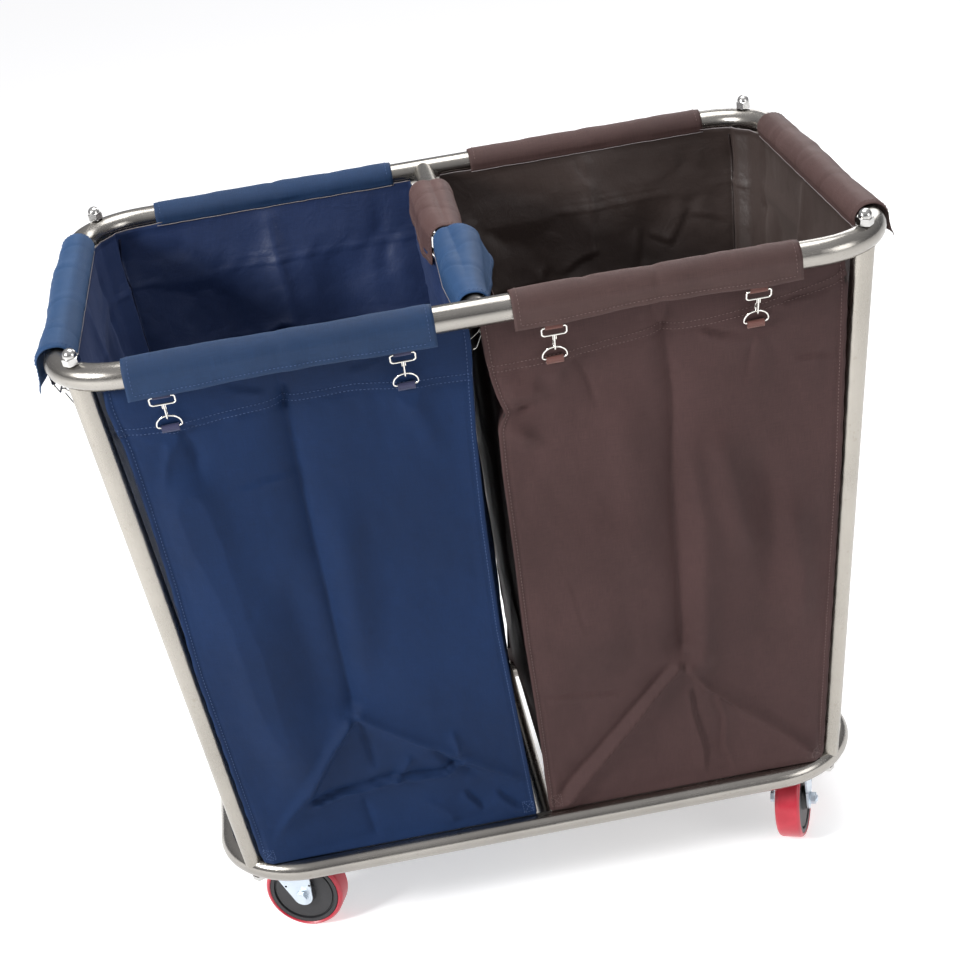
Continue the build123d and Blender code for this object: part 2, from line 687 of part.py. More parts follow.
# gate: barrel on the pin, and an arm reaching to the hook's nose
BARREL_R, BARREL_HALF = 1.5, 1.15
GATE_ARM_R = 0.9
GATE_ARM = Vector(0, NOSE_Y + 0.4 - PIVOT_Y, NOSE_Z + 1.0 - PIVOT_Z)
with BuildPart() as gate_master:
    with BuildSketch(Plane.YZ.offset(-BARREL_HALF)):
        with Locations((PIVOT_Y, PIVOT_Z)):
            Circle(BARREL_R)
    extrude(amount=2 * BARREL_HALF)
    with BuildSketch(
        Plane(origin=(0, PIVOT_Y, PIVOT_Z), x_dir=(1, 0, 0), z_dir=GATE_ARM.normalized())
    ):
        Circle(GATE_ARM_R)
    extrude(amount=GATE_ARM.length)
    with BuildSketch(Plane.YZ.offset(-3)):
        with Locations((PIVOT_Y, PIVOT_Z)):
            Circle(PIN_R + 0.06)
    extrude(amount=6, mode=Mode.SUBTRACT)

D_R = 13.4               # D ring arc, also its half width
D_BEND = 3.2
D_BAR = 52.7             # eye bar to the D ring's flat bar
D_HEIGHT = 17.0
D_ARC_Z = -(D_BAR - D_HEIGHT + D_R)
with BuildPart() as d_ring_master:
    with BuildLine(Plane.XZ.offset(HOOK_BEND)) as d_path:
        Line((0, -D_BAR), (D_R - D_BEND, -D_BAR))
        RadiusArc((D_R - D_BEND, -D_BAR), (D_R, -D_BAR + D_BEND), -D_BEND)
        Line((D_R, -D_BAR + D_BEND), (D_R, D_ARC_Z))
        ThreePointArc((D_R, D_ARC_Z), (0, D_ARC_Z + D_R), (-D_R, D_ARC_Z))
        Line((-D_R, D_ARC_Z), (-D_R, -D_BAR + D_BEND))
        RadiusArc((-D_R, -D_BAR + D_BEND), (-D_R + D_BEND, -D_BAR), -D_BEND)
        Line((-D_R + D_BEND, -D_BAR), (0, -D_BAR))
    with BuildSketch(start_plane(d_path)):
        Circle(WIRE)
    sweep(path=d_path.wires()[0])

HOOK_TILT = 26.0                     # the hem is outside the rail, the D ring inside it
HOOK_OUT, HOOK_DROP = 11.1, 26.0     # eye bar from the rail centreline
DIVIDER_MORE_OUT, DIVIDER_MORE_DROP = 3.1, 7.0   # added on the divider bar


def eye_offset(flap):
    """Eye bar from the rail centreline: outward, down."""
    if flap.tube == BAR_TUBE:
        return HOOK_OUT + DIVIDER_MORE_OUT, HOOK_DROP + DIVIDER_MORE_DROP
    return HOOK_OUT, HOOK_DROP


def hook_locations(flap):
    """Hook frames, leaning so that each hook's foot reaches back under the rail."""
    out, drop = eye_offset(flap)
    normal_x, normal_y = flap.outward
    turn = degrees(atan2(-normal_x, normal_y))   # brings local +Y onto the outward normal
    return [
        Location((*rail_point(flap, station, out), TOP_Z - drop), (0, 0, turn))
        * Location((0, 0, 0), (-HOOK_TILT, 0, 0))
        for station in flap.hooks
    ]


all_spots = []
for colour, sides in FLAPS.items():
    spots = [spot for flap in sides.values() for spot in hook_locations(flap)]
    all_spots += spots
    place(f"{colour}_snap_hooks", hook_master, spots)
    for side_name, flap in sides.items():
        place(f"{colour}_{side_name}_gates", gate_master, hook_locations(flap))
place("d_rings", d_ring_master, all_spots)

# ----------------------------------------------------------------------------
# Webbing tabs: a loop round each eye bar and each D ring bar
# ----------------------------------------------------------------------------
TAB_R, TAB_HOLE_R, TAB_T, TAB_HALF = 2.3, 1.25, 1.5, 9.5
EYE_STRAP, RING_STRAP = 14.0, 20     # strap heights
# how far the lower strap leans inward on its way down
LEAN_DIVIDER, LEAN_LONG_SIDE, LEAN_END = 1.2, 6.6, 4.4
# D ring bar from the eye bar, after the hook's tilt
TILT = radians(HOOK_TILT)
RING_IN = D_BAR * sin(TILT) + HOOK_BEND * cos(TILT)
RING_DOWN = D_BAR * cos(TILT) - HOOK_BEND * sin(TILT)


def strap_lean(flap):
    if flap.tube == BAR_TUBE:
        return LEAN_DIVIDER
    return LEAN_LONG_SIDE if flap.outward[1] else LEAN_END


def make_tabs(colour, flaps):
    with BuildPart() as tabs:
        for flap in flaps:
            out, drop = eye_offset(flap)
            ring_x, ring_y = out - RING_IN, -drop - RING_DOWN
            wall_x, wall_y = ring_x - strap_lean(flap), ring_y - RING_STRAP
            for station in flap.hooks:
                frame = flap_frame(flap, station - heading(flap) * TAB_HALF)
                # under the flap's hem: strap rising behind the cloth
                with BuildSketch(frame):
                    with Locations((out, -drop)):
                        Circle(TAB_R)
                    with Locations((out, -drop + EYE_STRAP / 2)):
                        Rectangle(TAB_T, EYE_STRAP)
                    with Locations((out, -drop)):
                        Circle(TAB_HOLE_R, mode=Mode.SUBTRACT)
                extrude(amount=2 * TAB_HALF)
                # on the bag's wall: strap running down to the cloth
                with BuildSketch(frame):
                    with Locations((ring_x, ring_y)):
                        Circle(TAB_R)
                    with BuildLine():
                        Polyline(
                            (ring_x + TAB_T / 2, ring_y), (wall_x + TAB_T / 2, wall_y),
                            (wall_x - TAB_T / 2, wall_y), (ring_x - TAB_T / 2, ring_y),
                            close=True,
                        )
                    make_face()
                    with Locations((ring_x, ring_y)):
                        Circle(TAB_HOLE_R, mode=Mode.SUBTRACT)
                extrude(amount=2 * TAB_HALF)
    finish(tabs, f"{colour}_webbing_tabs")


for colour, sides in FLAPS.items():
    make_tabs(colour, sides.values())
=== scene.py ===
"""Linen trolley: two cloth bags with flaps, stitching and webbing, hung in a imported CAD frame,
and the finishes of that frame. +Z is up, the front is -Y, the blue bag hangs on the left (-X)
and the brown one on the right (+X). Blender is in metres; cloth sizes here are in millimetres.
"""
import itertools
import math

import bmesh
import bpy
import numpy as np
from mathutils import Matrix, Vector


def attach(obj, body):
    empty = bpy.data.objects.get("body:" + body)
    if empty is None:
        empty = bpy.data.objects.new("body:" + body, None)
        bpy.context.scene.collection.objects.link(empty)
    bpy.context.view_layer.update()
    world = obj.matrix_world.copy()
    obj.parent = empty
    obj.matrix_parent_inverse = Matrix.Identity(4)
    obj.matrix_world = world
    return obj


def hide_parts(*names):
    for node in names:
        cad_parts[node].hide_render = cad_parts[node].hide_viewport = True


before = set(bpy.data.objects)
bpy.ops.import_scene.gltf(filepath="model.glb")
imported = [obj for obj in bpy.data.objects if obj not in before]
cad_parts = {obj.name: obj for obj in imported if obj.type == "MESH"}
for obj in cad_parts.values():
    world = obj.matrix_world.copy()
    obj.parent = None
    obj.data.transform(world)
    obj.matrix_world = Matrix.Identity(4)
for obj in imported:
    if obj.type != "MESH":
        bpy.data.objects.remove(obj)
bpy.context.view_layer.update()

# ------------------------------------------------------------------ frame sizes (mm)
MM_PER_M = 1000.0
TOP_Z, LOW_Z = 818.0, 117.0                              # centre heights of the two rings
TOP_HALF_X, TOP_HALF_Y, TOP_BEND = 445.0, 285.0, 80.0    # top ring and its corner bends
LOW_HALF_X, LOW_HALF_Y, LOW_BEND = 390.3, 194.3, 100.0   # bottom ring
RAIL_RADIUS, BAR_RADIUS = 15.0, 12.5                     # top ring tube, top crossbar

# the legs run between the middles of the ring corners
CORNER_CUT = 1 - math.cos(math.radians(45))
LEG_TOP = (TOP_HALF_X - CORNER_CUT * TOP_BEND, TOP_HALF_Y - CORNER_CUT * TOP_BEND)
LEG_LOW = (LOW_HALF_X - CORNER_CUT * LOW_BEND, LOW_HALF_Y - CORNER_CUT * LOW_BEND)

# ------------------------------------------------------------------ bag sizes (mm)
BAG_TOP, BAG_LOW = 803.0, 130.9
PANEL_Y = (269.5, 186.5)      # |y| of the front and rear panels, at the top and at the bottom
END_X = (429.5, 368.0)        # |x| of the end panel, at the top and at the bottom
LEG_GAP = 13.6                # leg centre to the panel edge beside it
RAIL_GAP = 16.1               # rail centre to the bag's top edge
TOP_CORNER_RADIUS = 63.6      # largest radius of the top edge inside the rail's bend
PANEL_WIDTH = 370.0           # nominal width of the front and rear panels
RING_Z = 742.0                # where the D rings pull on the cloth
HOOK_Z = 745.0                # middle of the band kept clear for the hooks
SEAM_ROW = 60                 # grid row whose seam heights the stitches follow

# the wall of a bag is one closed loop of columns, panel by panel
FRONT, DIVIDER, REAR, END = range(4)
PANEL_NAMES = ("front", "divider", "rear", "end")
COUNTS = (150, 92, 84, 96)
STARTS = np.r_[0, np.cumsum(COUNTS)]
PANEL = np.repeat(np.arange(4), COUNTS)
ACROSS = np.concatenate([np.arange(n) / n for n in COUNTS])   # 0..1 over each panel
TO_EDGE = np.minimum(ACROSS, 1 - ACROSS)
IS_FACE = PANEL % 2 == 0      # front and rear panels run along x, the other two along y


def by_panel(faces, divider, end):
    """One value per column: front and rear panels, divider wall, end panel."""
    return np.array((faces, divider, faces, end))[PANEL]


def smooth(start, stop, value):
    """Smoothstep from 0 at start to 1 at stop."""
    t = np.clip((value - start) / (stop - start), 0.0, 1.0)
    return t * t * (3 - 2 * t)


def bell(distance, width):
    return np.exp(-(distance / width) ** 2)


def unit(vectors):
    return vectors / (np.linalg.norm(vectors, axis=-1, keepdims=True) + 1e-9)


def path_lengths(points):
    """Distance from the first point to each point of a polyline."""
    return np.r_[0, np.cumsum(np.linalg.norm(np.diff(points, axis=0), axis=1))]


# ------------------------------------------------------------------ noise
def lattice_value(i, j, k, seed):
    """Hash of a lattice corner, -1..1."""
    mixed = (i * 73856093) ^ (j * 19349663) ^ (k * 83492791) ^ (seed * 2654435761)
    mixed = mixed & 0xFFFFFFFF
    mixed = ((mixed ^ (mixed >> 13)) * 1274126177) & 0xFFFFFFFF
    mixed = ((mixed ^ (mixed >> 16)) * 2246822519) & 0xFFFFFFFF
    return ((mixed ^ (mixed >> 15)) & 0xFFFFFF) / float(0x800000) - 1.0


def lattice_noise(points, seed):
    """Smooth value noise, -1..1, for an (..., 3) array."""
    cell = np.floor(points).astype(np.int64)
    f = points - cell
    ease = f * f * f * (f * (f * 6 - 15) + 10)
    total = 0.0
    for corner in itertools.product((0, 1), repeat=3):
        weight = np.prod(np.where(corner, ease, 1 - ease), axis=-1)
        total = total + lattice_value(*np.moveaxis(cell + corner, -1, 0), seed) * weight
    return total


def noise(points, scale, seed, octaves):
    """Layered value noise; scale is the size in mm of the coarsest layer."""
    points = np.asarray(points, float) / scale
    total, weights = 0.0, 0.0
    for octave in range(octaves):
        weight = 0.5 ** octave
        layer = lattice_noise(points * (2.03 ** octave) + 17.3 * octave, seed + 31 * octave)
        total = total + weight * layer
        weights += weight
    return total / weights


# ------------------------------------------------------------------ shader nodes
class Nodes:
    """Adds and links nodes in one tree. Any input takes a value or another node's socket."""

    def __init__(self, owner):
        owner.use_nodes = True
        self.tree = owner.node_tree
        self.tree.nodes.clear()

    def feed(self, socket, value):
        if isinstance(value, bpy.types.NodeSocket):
            self.tree.links.new(value, socket)
        else:
            socket.default_value = value

    def add(self, kind, inputs=None, **settings):
        made = self.tree.nodes.new("ShaderNode" + kind)
        for key, value in settings.items():
            setattr(made, key, value)
        for key, value in (inputs or {}).items():
            self.feed(made.inputs[key], value)
        return made

    def finish(self, shader, target, inputs):
        """The last shader, and the output it feeds."""
        made = self.add(shader, inputs)
        self.add("Output" + target, {"Surface": made.outputs[0]})

    def noise(self, **inputs):
        return self.add("TexNoise", inputs).outputs["Fac"]

    def stretch(self, vector, scale):
        return self.add("Mapping", {"Scale": scale, "Vector": vector}).outputs[0]

    def ramp(self, source, low, high):
        """Colour ramp between two (position, colour) stops."""
        made = self.add("ValToRGB", {"Fac": source})
        for element, (position, color) in zip(made.color_ramp.elements, (low, high)):
            element.position = position
            element.color = (*color, 1)
        return made.outputs[0]

    def gray_ramp(self, source, low, high):
        return self.ramp(source, (low[0], (low[1],) * 3), (high[0], (high[1],) * 3))

    def math(self, operation, first, second=None, clamp=False):
        made = self.add("Math", operation=operation, use_clamp=clamp)
        self.feed(made.inputs[0], first)
        if second is not None:
            self.feed(made.inputs[1], second)
        return made.outputs[0]

    def scale_shift(self, value, scale, shift, clamp=False):
        return self.math("ADD", self.math("MULTIPLY", value, scale), shift, clamp=clamp)

    def mix(self, factor, first, second, blend="MIX"):
        made = self.add("Mix", data_type="RGBA", blend_type=blend)
        self.feed(made.inputs["Factor"], factor)
        self.feed(made.inputs["A"], first)
        self.feed(made.inputs["B"], second)
        return made.outputs["Result"]

    def bump(self, **inputs):
        return self.add("Bump", inputs).outputs[0]


def new_material(name):
    material = bpy.data.materials.new(name)
    return material, Nodes(material)


# ------------------------------------------------------------------ materials
def steel(name, base, rough, streak, wear, metallic=1.0):
    """Brushed or drawn metal: grain stretched along one axis, patchy roughness, faint marks."""
    material, nodes = new_material(name)
    place = nodes.add("TexCoord").outputs["Object"]
    grain = nodes.noise(Scale=1.0, Detail=3.0, Roughness=0.6, Vector=nodes.stretch(place, streak))
    patch = nodes.noise(Scale=9.0, Detail=4.0, Roughness=0.55, Vector=place)
    spots = nodes.noise(Scale=160.0, Detail=2.0, Roughness=0.5, Vector=place)
    dark = tuple(c * (1 - 0.16) for c in base)
    color = nodes.ramp(patch, (0.32, dark), (0.68, base))
    marks = nodes.ramp(spots, (0.28, (0.80, 0.77, 0.72)), (0.36, (1, 1, 1)))
    color = nodes.mix(wear * 6, color, marks, blend="MULTIPLY")
    grain_rough = nodes.math("MULTIPLY", grain, 0.16)
    patch_rough = nodes.math("MULTIPLY", patch, 0.14)
    uneven = nodes.math("ADD", grain_rough, patch_rough)
    nodes.finish("BsdfPrincipled", "Material", {
        "Base Color": color,
        "Roughness": nodes.math("ADD", uneven, rough - 0.13),
        "Metallic": metallic,
        "Anisotropic": 0.35,
        "Normal": nodes.bump(Strength=0.10, Distance=0.0004, Height=grain),
    })
    return material


def plastic(name, base, rough, grain=900.0, bump=0.25, coat=0.0, spec=0.5, mottled=0.18):
    """Moulded plastic, rubber or thread: mottled tone over a fine grain."""
    material, nodes = new_material(name)
    place = nodes.add("TexCoord").outputs["Object"]
    fine = nodes.noise(Scale=grain, Detail=2.0, Vector=place)
    broad = nodes.noise(Scale=28.0, Detail=5.0, Roughness=0.65, Vector=place)
    light = tuple(min(1, c * (1 + mottled) + 0.012) for c in base)
    nodes.finish("BsdfPrincipled", "Material", {
        "Base Color": nodes.ramp(broad, (0.35, base), (0.75, light)),
        "Roughness": nodes.scale_shift(broad, 0.22, rough - 0.11),
        "Specular IOR Level": spec,
        "Coat Weight": coat,
        "Coat Roughness": 0.2,
        "Normal": nodes.bump(Strength=bump, Distance=0.0002, Height=fine),
    })
    return material


def cloth(name, warp, weft, rough=0.6, sheen=0.35, pitch=0.9, bump=0.5,
          sheen_tint=(0.7, 0.8, 1.0), coat=0.0, wrinkle=0.35, spec=0.35):
    """Plain-weave nylon: thread bands from the UV map (metres), soft creases and sheen.

    pitch is the weave's repeat in mm.
    """
    material, nodes = new_material(name)
    coords = nodes.add("TexCoord")
    uv, place = coords.outputs["UV"], coords.outputs["Object"]
    split = nodes.add("SeparateXYZ", {0: uv})
    wave = 2 * math.pi / (pitch / MM_PER_M)
    wobble = nodes.math("MULTIPLY", nodes.noise(Scale=60.0, Detail=2.0, Vector=place), 2.5)
    bands = [nodes.math("SINE", nodes.scale_shift(split.outputs[axis], wave, wobble))
             for axis in (0, 1)]
    checker = nodes.math("MULTIPLY", *bands)
    weave = nodes.scale_shift(checker, 0.5, 0.5, clamp=True)
    slubs = [nodes.noise(Scale=1.0, Detail=3.0, Vector=nodes.stretch(uv, scale))
             for scale in ((1400, 60, 1), (60, 1400, 1))]
    broad = nodes.noise(Scale=5.0, Detail=6.0, Roughness=0.6, Vector=place)
    color = nodes.mix(weave, (*warp, 1), (*weft, 1))
    tone = nodes.gray_ramp(broad, (0.30, 0.80), (0.72, 1.12))
    color = nodes.mix(1.0, color, tone, blend="MULTIPLY")
    slub = nodes.math("MULTIPLY", nodes.math("ADD", *slubs), 0.5)
    thread = nodes.gray_ramp(slub, (0.36, 0.86), (0.64, 1.14))
    color = nodes.mix(1.0, color, thread, blend="MULTIPLY")
    uneven = nodes.scale_shift(broad, 0.16, rough - 0.08)
    creases = nodes.noise(Scale=26.0, Detail=5.0, Roughness=0.62, Distortion=0.6, Vector=place)
    creased = nodes.bump(Strength=wrinkle, Distance=0.004, Height=creases)
    nodes.finish("BsdfPrincipled", "Material", {
        "Base Color": color,
        "Roughness": uneven,
        "Sheen Weight": sheen,
        "Sheen Roughness": 0.45,
        "Sheen Tint": (*sheen_tint, 1),
        "Specular IOR Level": spec,
        "Coat Weight": coat,
        "Coat Roughness": 0.38,
        "Normal": nodes.bump(Strength=bump, Distance=0.00025, Height=weave, Normal=creased),
    })
    return material


# looks shared by the blue and the brown cloths
OUTSIDE = dict(sheen=0.02, spec=0.12, wrinkle=0.12)
INSIDE = dict(sheen=0.10, bump=0.3)
FLAP = dict(sheen=0.10, spec=0.25, wrinkle=0.14)
# painted light: the lit flap cloths are the same nylon as the flap cloths, made brighter for the
# flaps that the lamps fall on
FLAP_PAINTED_LIGHT = dict(FLAP, sheen=0.14)
WEBBING = dict(pitch=1.6, bump=1.0, wrinkle=0.1, sheen=0.2)
BINDING = dict(pitch=1.3, bump=0.8, wrinkle=0.1, sheen=0.05, spec=0.15)
BLUE_SHEEN = (0.45, 0.65, 1.0)
BROWN_SHEEN = (1.0, 0.8, 0.75)
BROWN_FLAP_SHEEN = (1.0, 0.7, 0.65)

MATERIALS = {
    "tube": steel("stainless_tube_brushed", base=(0.40, 0.375, 0.335), rough=0.27,
                  streak=(900, 900, 12), wear=0.06),
    "rail": steel("stainless_rail_brushed", base=(0.37, 0.35, 0.32), rough=0.23,
                  streak=(14, 900, 900), wear=0.06),
    "fastener": steel("stainless_machined", base=(0.60, 0.59, 0.57), rough=0.2,
                      streak=(500, 500, 500), wear=0.03),
    "zinc": steel("zinc_plate_bright", base=(0.70, 0.78, 0.86), rough=0.34,
                  streak=(300, 300, 60), wear=0.05, metallic=0.75),
    "nickel": steel("nickel_wire_bright", base=(0.82, 0.80, 0.75), rough=0.17,
                    streak=(700, 700, 700), wear=0.04),
    "core": plastic("nylon_core_black", base=(0.018, 0.018, 0.020), rough=0.42, spec=0.45),
    "tread": plastic("polyurethane_red", base=(0.42, 0.012, 0.030), rough=0.36, grain=400,
                     bump=0.12, coat=0.25, mottled=0.25),
    "blue": cloth("nylon_blue_outside", warp=(0.0050, 0.0168, 0.056),
                  weft=(0.0074, 0.0230, 0.073), sheen_tint=BLUE_SHEEN, **OUTSIDE),
    "blue_in": cloth("nylon_blue_coated_inside", warp=(0.0135, 0.0265, 0.080),
                     weft=(0.0185, 0.0355, 0.101), rough=0.42, coat=0.25,
                     sheen_tint=(0.5, 0.6, 1.0), **INSIDE),
    "brown": cloth("nylon_brown_outside", warp=(0.047, 0.0250, 0.0240),
                   weft=(0.066, 0.0365, 0.0355), sheen_tint=BROWN_SHEEN, **OUTSIDE),
    "brown_flap": cloth("nylon_brown_flap", warp=(0.050, 0.026, 0.0235),
                        weft=(0.070, 0.038, 0.035), sheen_tint=BROWN_FLAP_SHEEN, **FLAP),
    # painted light: the brown flap cloth made brighter where the lamps fall on it
    "brown_flap_lit": cloth("nylon_brown_flap_painted_light", warp=(0.056, 0.027, 0.0245),
                            weft=(0.078, 0.040, 0.037), sheen_tint=BROWN_FLAP_SHEEN,
                            **FLAP_PAINTED_LIGHT),
    "blue_flap": cloth("nylon_blue_flap", warp=(0.0066, 0.0245, 0.069),
                       weft=(0.0100, 0.0335, 0.091), sheen_tint=BLUE_SHEEN, **FLAP),
    # painted light: the blue flap cloth made brighter where the lamps fall on it
    "blue_flap_lit": cloth("nylon_blue_flap_painted_light", warp=(0.0078, 0.038, 0.106),
                           weft=(0.0120, 0.052, 0.138), sheen_tint=BLUE_SHEEN, **FLAP_PAINTED_LIGHT),
    "brown_in": cloth("nylon_brown_coated_inside", warp=(0.040, 0.028, 0.024),
                      weft=(0.052, 0.036, 0.032), rough=0.40, coat=0.3,
                      sheen_tint=(1.0, 0.85, 0.8), **INSIDE),
    "blue_web": cloth("webbing_blue", warp=(0.016, 0.018, 0.055), weft=(0.034, 0.034, 0.085),
                      **WEBBING),
    "brown_web": cloth("webbing_brown", warp=(0.10, 0.035, 0.028), weft=(0.16, 0.062, 0.050),
                       sheen_tint=(1, 0.8, 0.7), **WEBBING),
    "blue_binding": cloth("binding_blue", warp=(0.004, 0.006, 0.020),
                          weft=(0.006, 0.009, 0.028), **BINDING),
    "brown_binding": cloth("binding_brown", warp=(0.014, 0.009, 0.008),
                           weft=(0.022, 0.014, 0.012), **BINDING),
    "blue_thread": plastic("thread_blue", base=(0.028, 0.060, 0.150), rough=0.6, bump=0.1),
    "brown_thread": plastic("thread_brown", base=(0.115, 0.070, 0.064), rough=0.6, bump=0.1),
    "pale_thread": plastic("thread_pale", base=(0.20, 0.175, 0.175), rough=0.6, bump=0.1),
}

FASTENERS = ("top_studs", "cap_nuts", "foot_bolts", "plate_bolts", "plate_nuts")


def frame_finish(name):
    """Key of the material for a CAD piece, told from its name."""
    if name in ("top_ring", "bottom_ring", "caster_mount_plates"):
        return "rail"
    if name in ("top_crossbar", "bottom_crossbar"):
        return "tube"
    if name.startswith("leg_"):
        return "fastener" if "insert" in name else "tube"
    if name in FASTENERS:
        return "fastener"
    if name.startswith("wheel_core"):
        return "core"
    if name.startswith("wheel_tread"):
        return "tread"
    if name.endswith(("_gates", "_snap_hooks")) or name == "d_rings":
        return "nickel"
    if name.startswith(("fork_", "axle_", "caster_", "swivel_", "wheel_bush")):
        return "zinc"
    return "blue" if name.startswith("blue") else "brown"


for node_name, node_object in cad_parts.items():
    node_object.data.materials.clear()
    node_object.data.materials.append(MATERIALS[frame_finish(node_name)])


# ------------------------------------------------------------------ mesh helpers
def shade_smooth(mesh):
    mesh.polygons.foreach_set("use_smooth", np.ones(len(mesh.polygons), bool))


def make_object(name, points, faces, uvs, *materials):
    """Object from points and UVs in mm; uvs may be None."""
    mesh = bpy.data.meshes.new(name)
    mesh.from_pydata((np.asarray(points, float) / MM_PER_M).tolist(), [], faces)
    if uvs is not None:
        layer = mesh.uv_layers.new(name="cloth_uv")
        corners = np.zeros(len(mesh.loops), np.int32)
        mesh.loops.foreach_get("vertex_index", corners)
        layer.data.foreach_set("uv", (np.asarray(uvs, np.float32)[corners] / MM_PER_M).ravel())
    for material in materials:
        mesh.materials.append(material)
    shade_smooth(mesh)
    mesh.update()
    mesh.validate()
    made = bpy.data.objects.new(name, mesh)
    bpy.context.scene.collection.objects.link(made)
    return made


def grid_faces(rows, cols, wrap=False):
    faces = []
    for row in range(rows - 1):
        for col in range(cols if wrap else cols - 1):
            a = row * cols + col
            b = row * cols + (col + 1) % cols
            faces.append((a, b, b + cols, a + cols))
    return faces


def tube_faces(rings, sides):
    """Faces of a tube with both ends closed."""
    last = (rings - 1) * sides
    caps = [tuple(range(sides - 1, -1, -1)), tuple(range(last, last + sides))]
    return grid_faces(rings, sides, wrap=True) + caps


def tube_mesh(path, radius, sides=6):
    """Points and faces of a thin round cord along a polyline."""
    tangent = unit(np.gradient(path, axis=0))
    upright = abs(tangent[:, 2]).mean() > 0.8
    side = unit(np.cross(tangent, (1.0, 0.0, 0.0) if upright else (0.0, 0.0, 1.0)))
    other = np.cross(side, tangent)
    angle = 2 * math.pi * np.arange(sides)[:, None] / sides
    ring = side[:, None] * np.cos(angle) + other[:, None] * np.sin(angle)
    points = path[:, None] + ring * radius
    return points.reshape(-1, 3), tube_faces(len(path), sides)


def face_outward(made, direction):
    """Make the normals agree, so that the face farthest along direction looks that way."""
    direction = Vector(direction)
    bm = bmesh.new()
    bm.from_mesh(made.data)
    bmesh.ops.recalc_face_normals(bm, faces=bm.faces)
    farthest = max(bm.faces, key=lambda face: face.calc_center_median().dot(direction))
    if farthest.normal.dot(direction) < 0:
        bmesh.ops.reverse_faces(bm, faces=bm.faces)
    bm.to_mesh(made.data)
    bm.free()


def solidify(made, thickness, offset=0.0, inner_slot=0):
    """Give the cloth a thickness in mm and apply it."""
    modifier = made.modifiers.new("cloth_thickness", "SOLIDIFY")
    modifier.thickness = thickness / MM_PER_M
    modifier.offset = offset
    modifier.use_even_offset = False
    modifier.material_offset = inner_slot
    bpy.context.view_layer.update()
    graph = bpy.context.evaluated_depsgraph_get()
    mesh = bpy.data.meshes.new_from_object(
        made.evaluated_get(graph), preserve_all_data_layers=True, depsgraph=graph)
    made.modifiers.clear()
    made.data = mesh
    shade_smooth(mesh)


def register(made, slot, *replaced):
    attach(made, "frame")
    if replaced:
        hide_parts(*replaced)


class Parts:
    """Many small pieces gathered into one mesh."""

    def __init__(self):
        self.points, self.faces, self.uvs = [], [], []

    def add(self, points, faces, uvs=()):
        start = len(self.points)
        self.points.extend(points)
        self.uvs.extend(uvs)
        self.faces.extend(tuple(start + i for i in face) for face in faces)

    def build(self, name, material):
        return make_object(name, self.points, self.faces, self.uvs or None, MATERIALS[material])


class Stitches(Parts):
    """Short thread stitches: four five-sided rings each, both ends sunk into the cloth."""

    RADIUS = 0.42
    STATIONS = np.array([-0.5, -0.22, 0.22, 0.5])    # ring places, in stitch lengths
    RING_RADII = np.array([0.35, 1.0, 1.0, 0.35]) * RADIUS
    SINK = -0.35
    FACES = tube_faces(4, 5)

    def run(self, path, normals, pitch=4.4, length=3.0, lift=0.15):
        """Stitches along a polyline lying on cloth; normals point out of the cloth."""
        path, normals = np.asarray(path, float), np.asarray(normals, float)
        distance = path_lengths(path)
        angle = np.linspace(0, 2 * math.pi, 6)[:-1]
        radii = self.RING_RADII[:, None]
        rise = np.array([self.SINK, lift + 0.1, lift + 0.1, self.SINK])[:, None]
        up = (rise + np.sin(angle) * radii)[..., None]
        sideways = (np.cos(angle) * radii)[..., None]
        for k in range(int(distance[-1] / pitch)):
            stations = self.STATIONS * length + (k + 0.5) * pitch
            centre = np.stack([np.interp(stations, distance, c) for c in path.T], 1)
            normal = np.stack([np.interp(stations, distance, c) for c in normals.T], 1)
            normal /= np.linalg.norm(normal, axis=1)[:, None]
            across = np.cross(normal, unit(centre[-1] - centre[0]))
            points = centre[:, None] + normal[:, None] * up + across[:, None] * sideways
            self.add(points.reshape(-1, 3), self.FACES)


THREAD = {"blue": Stitches(), "brown": Stitches()}


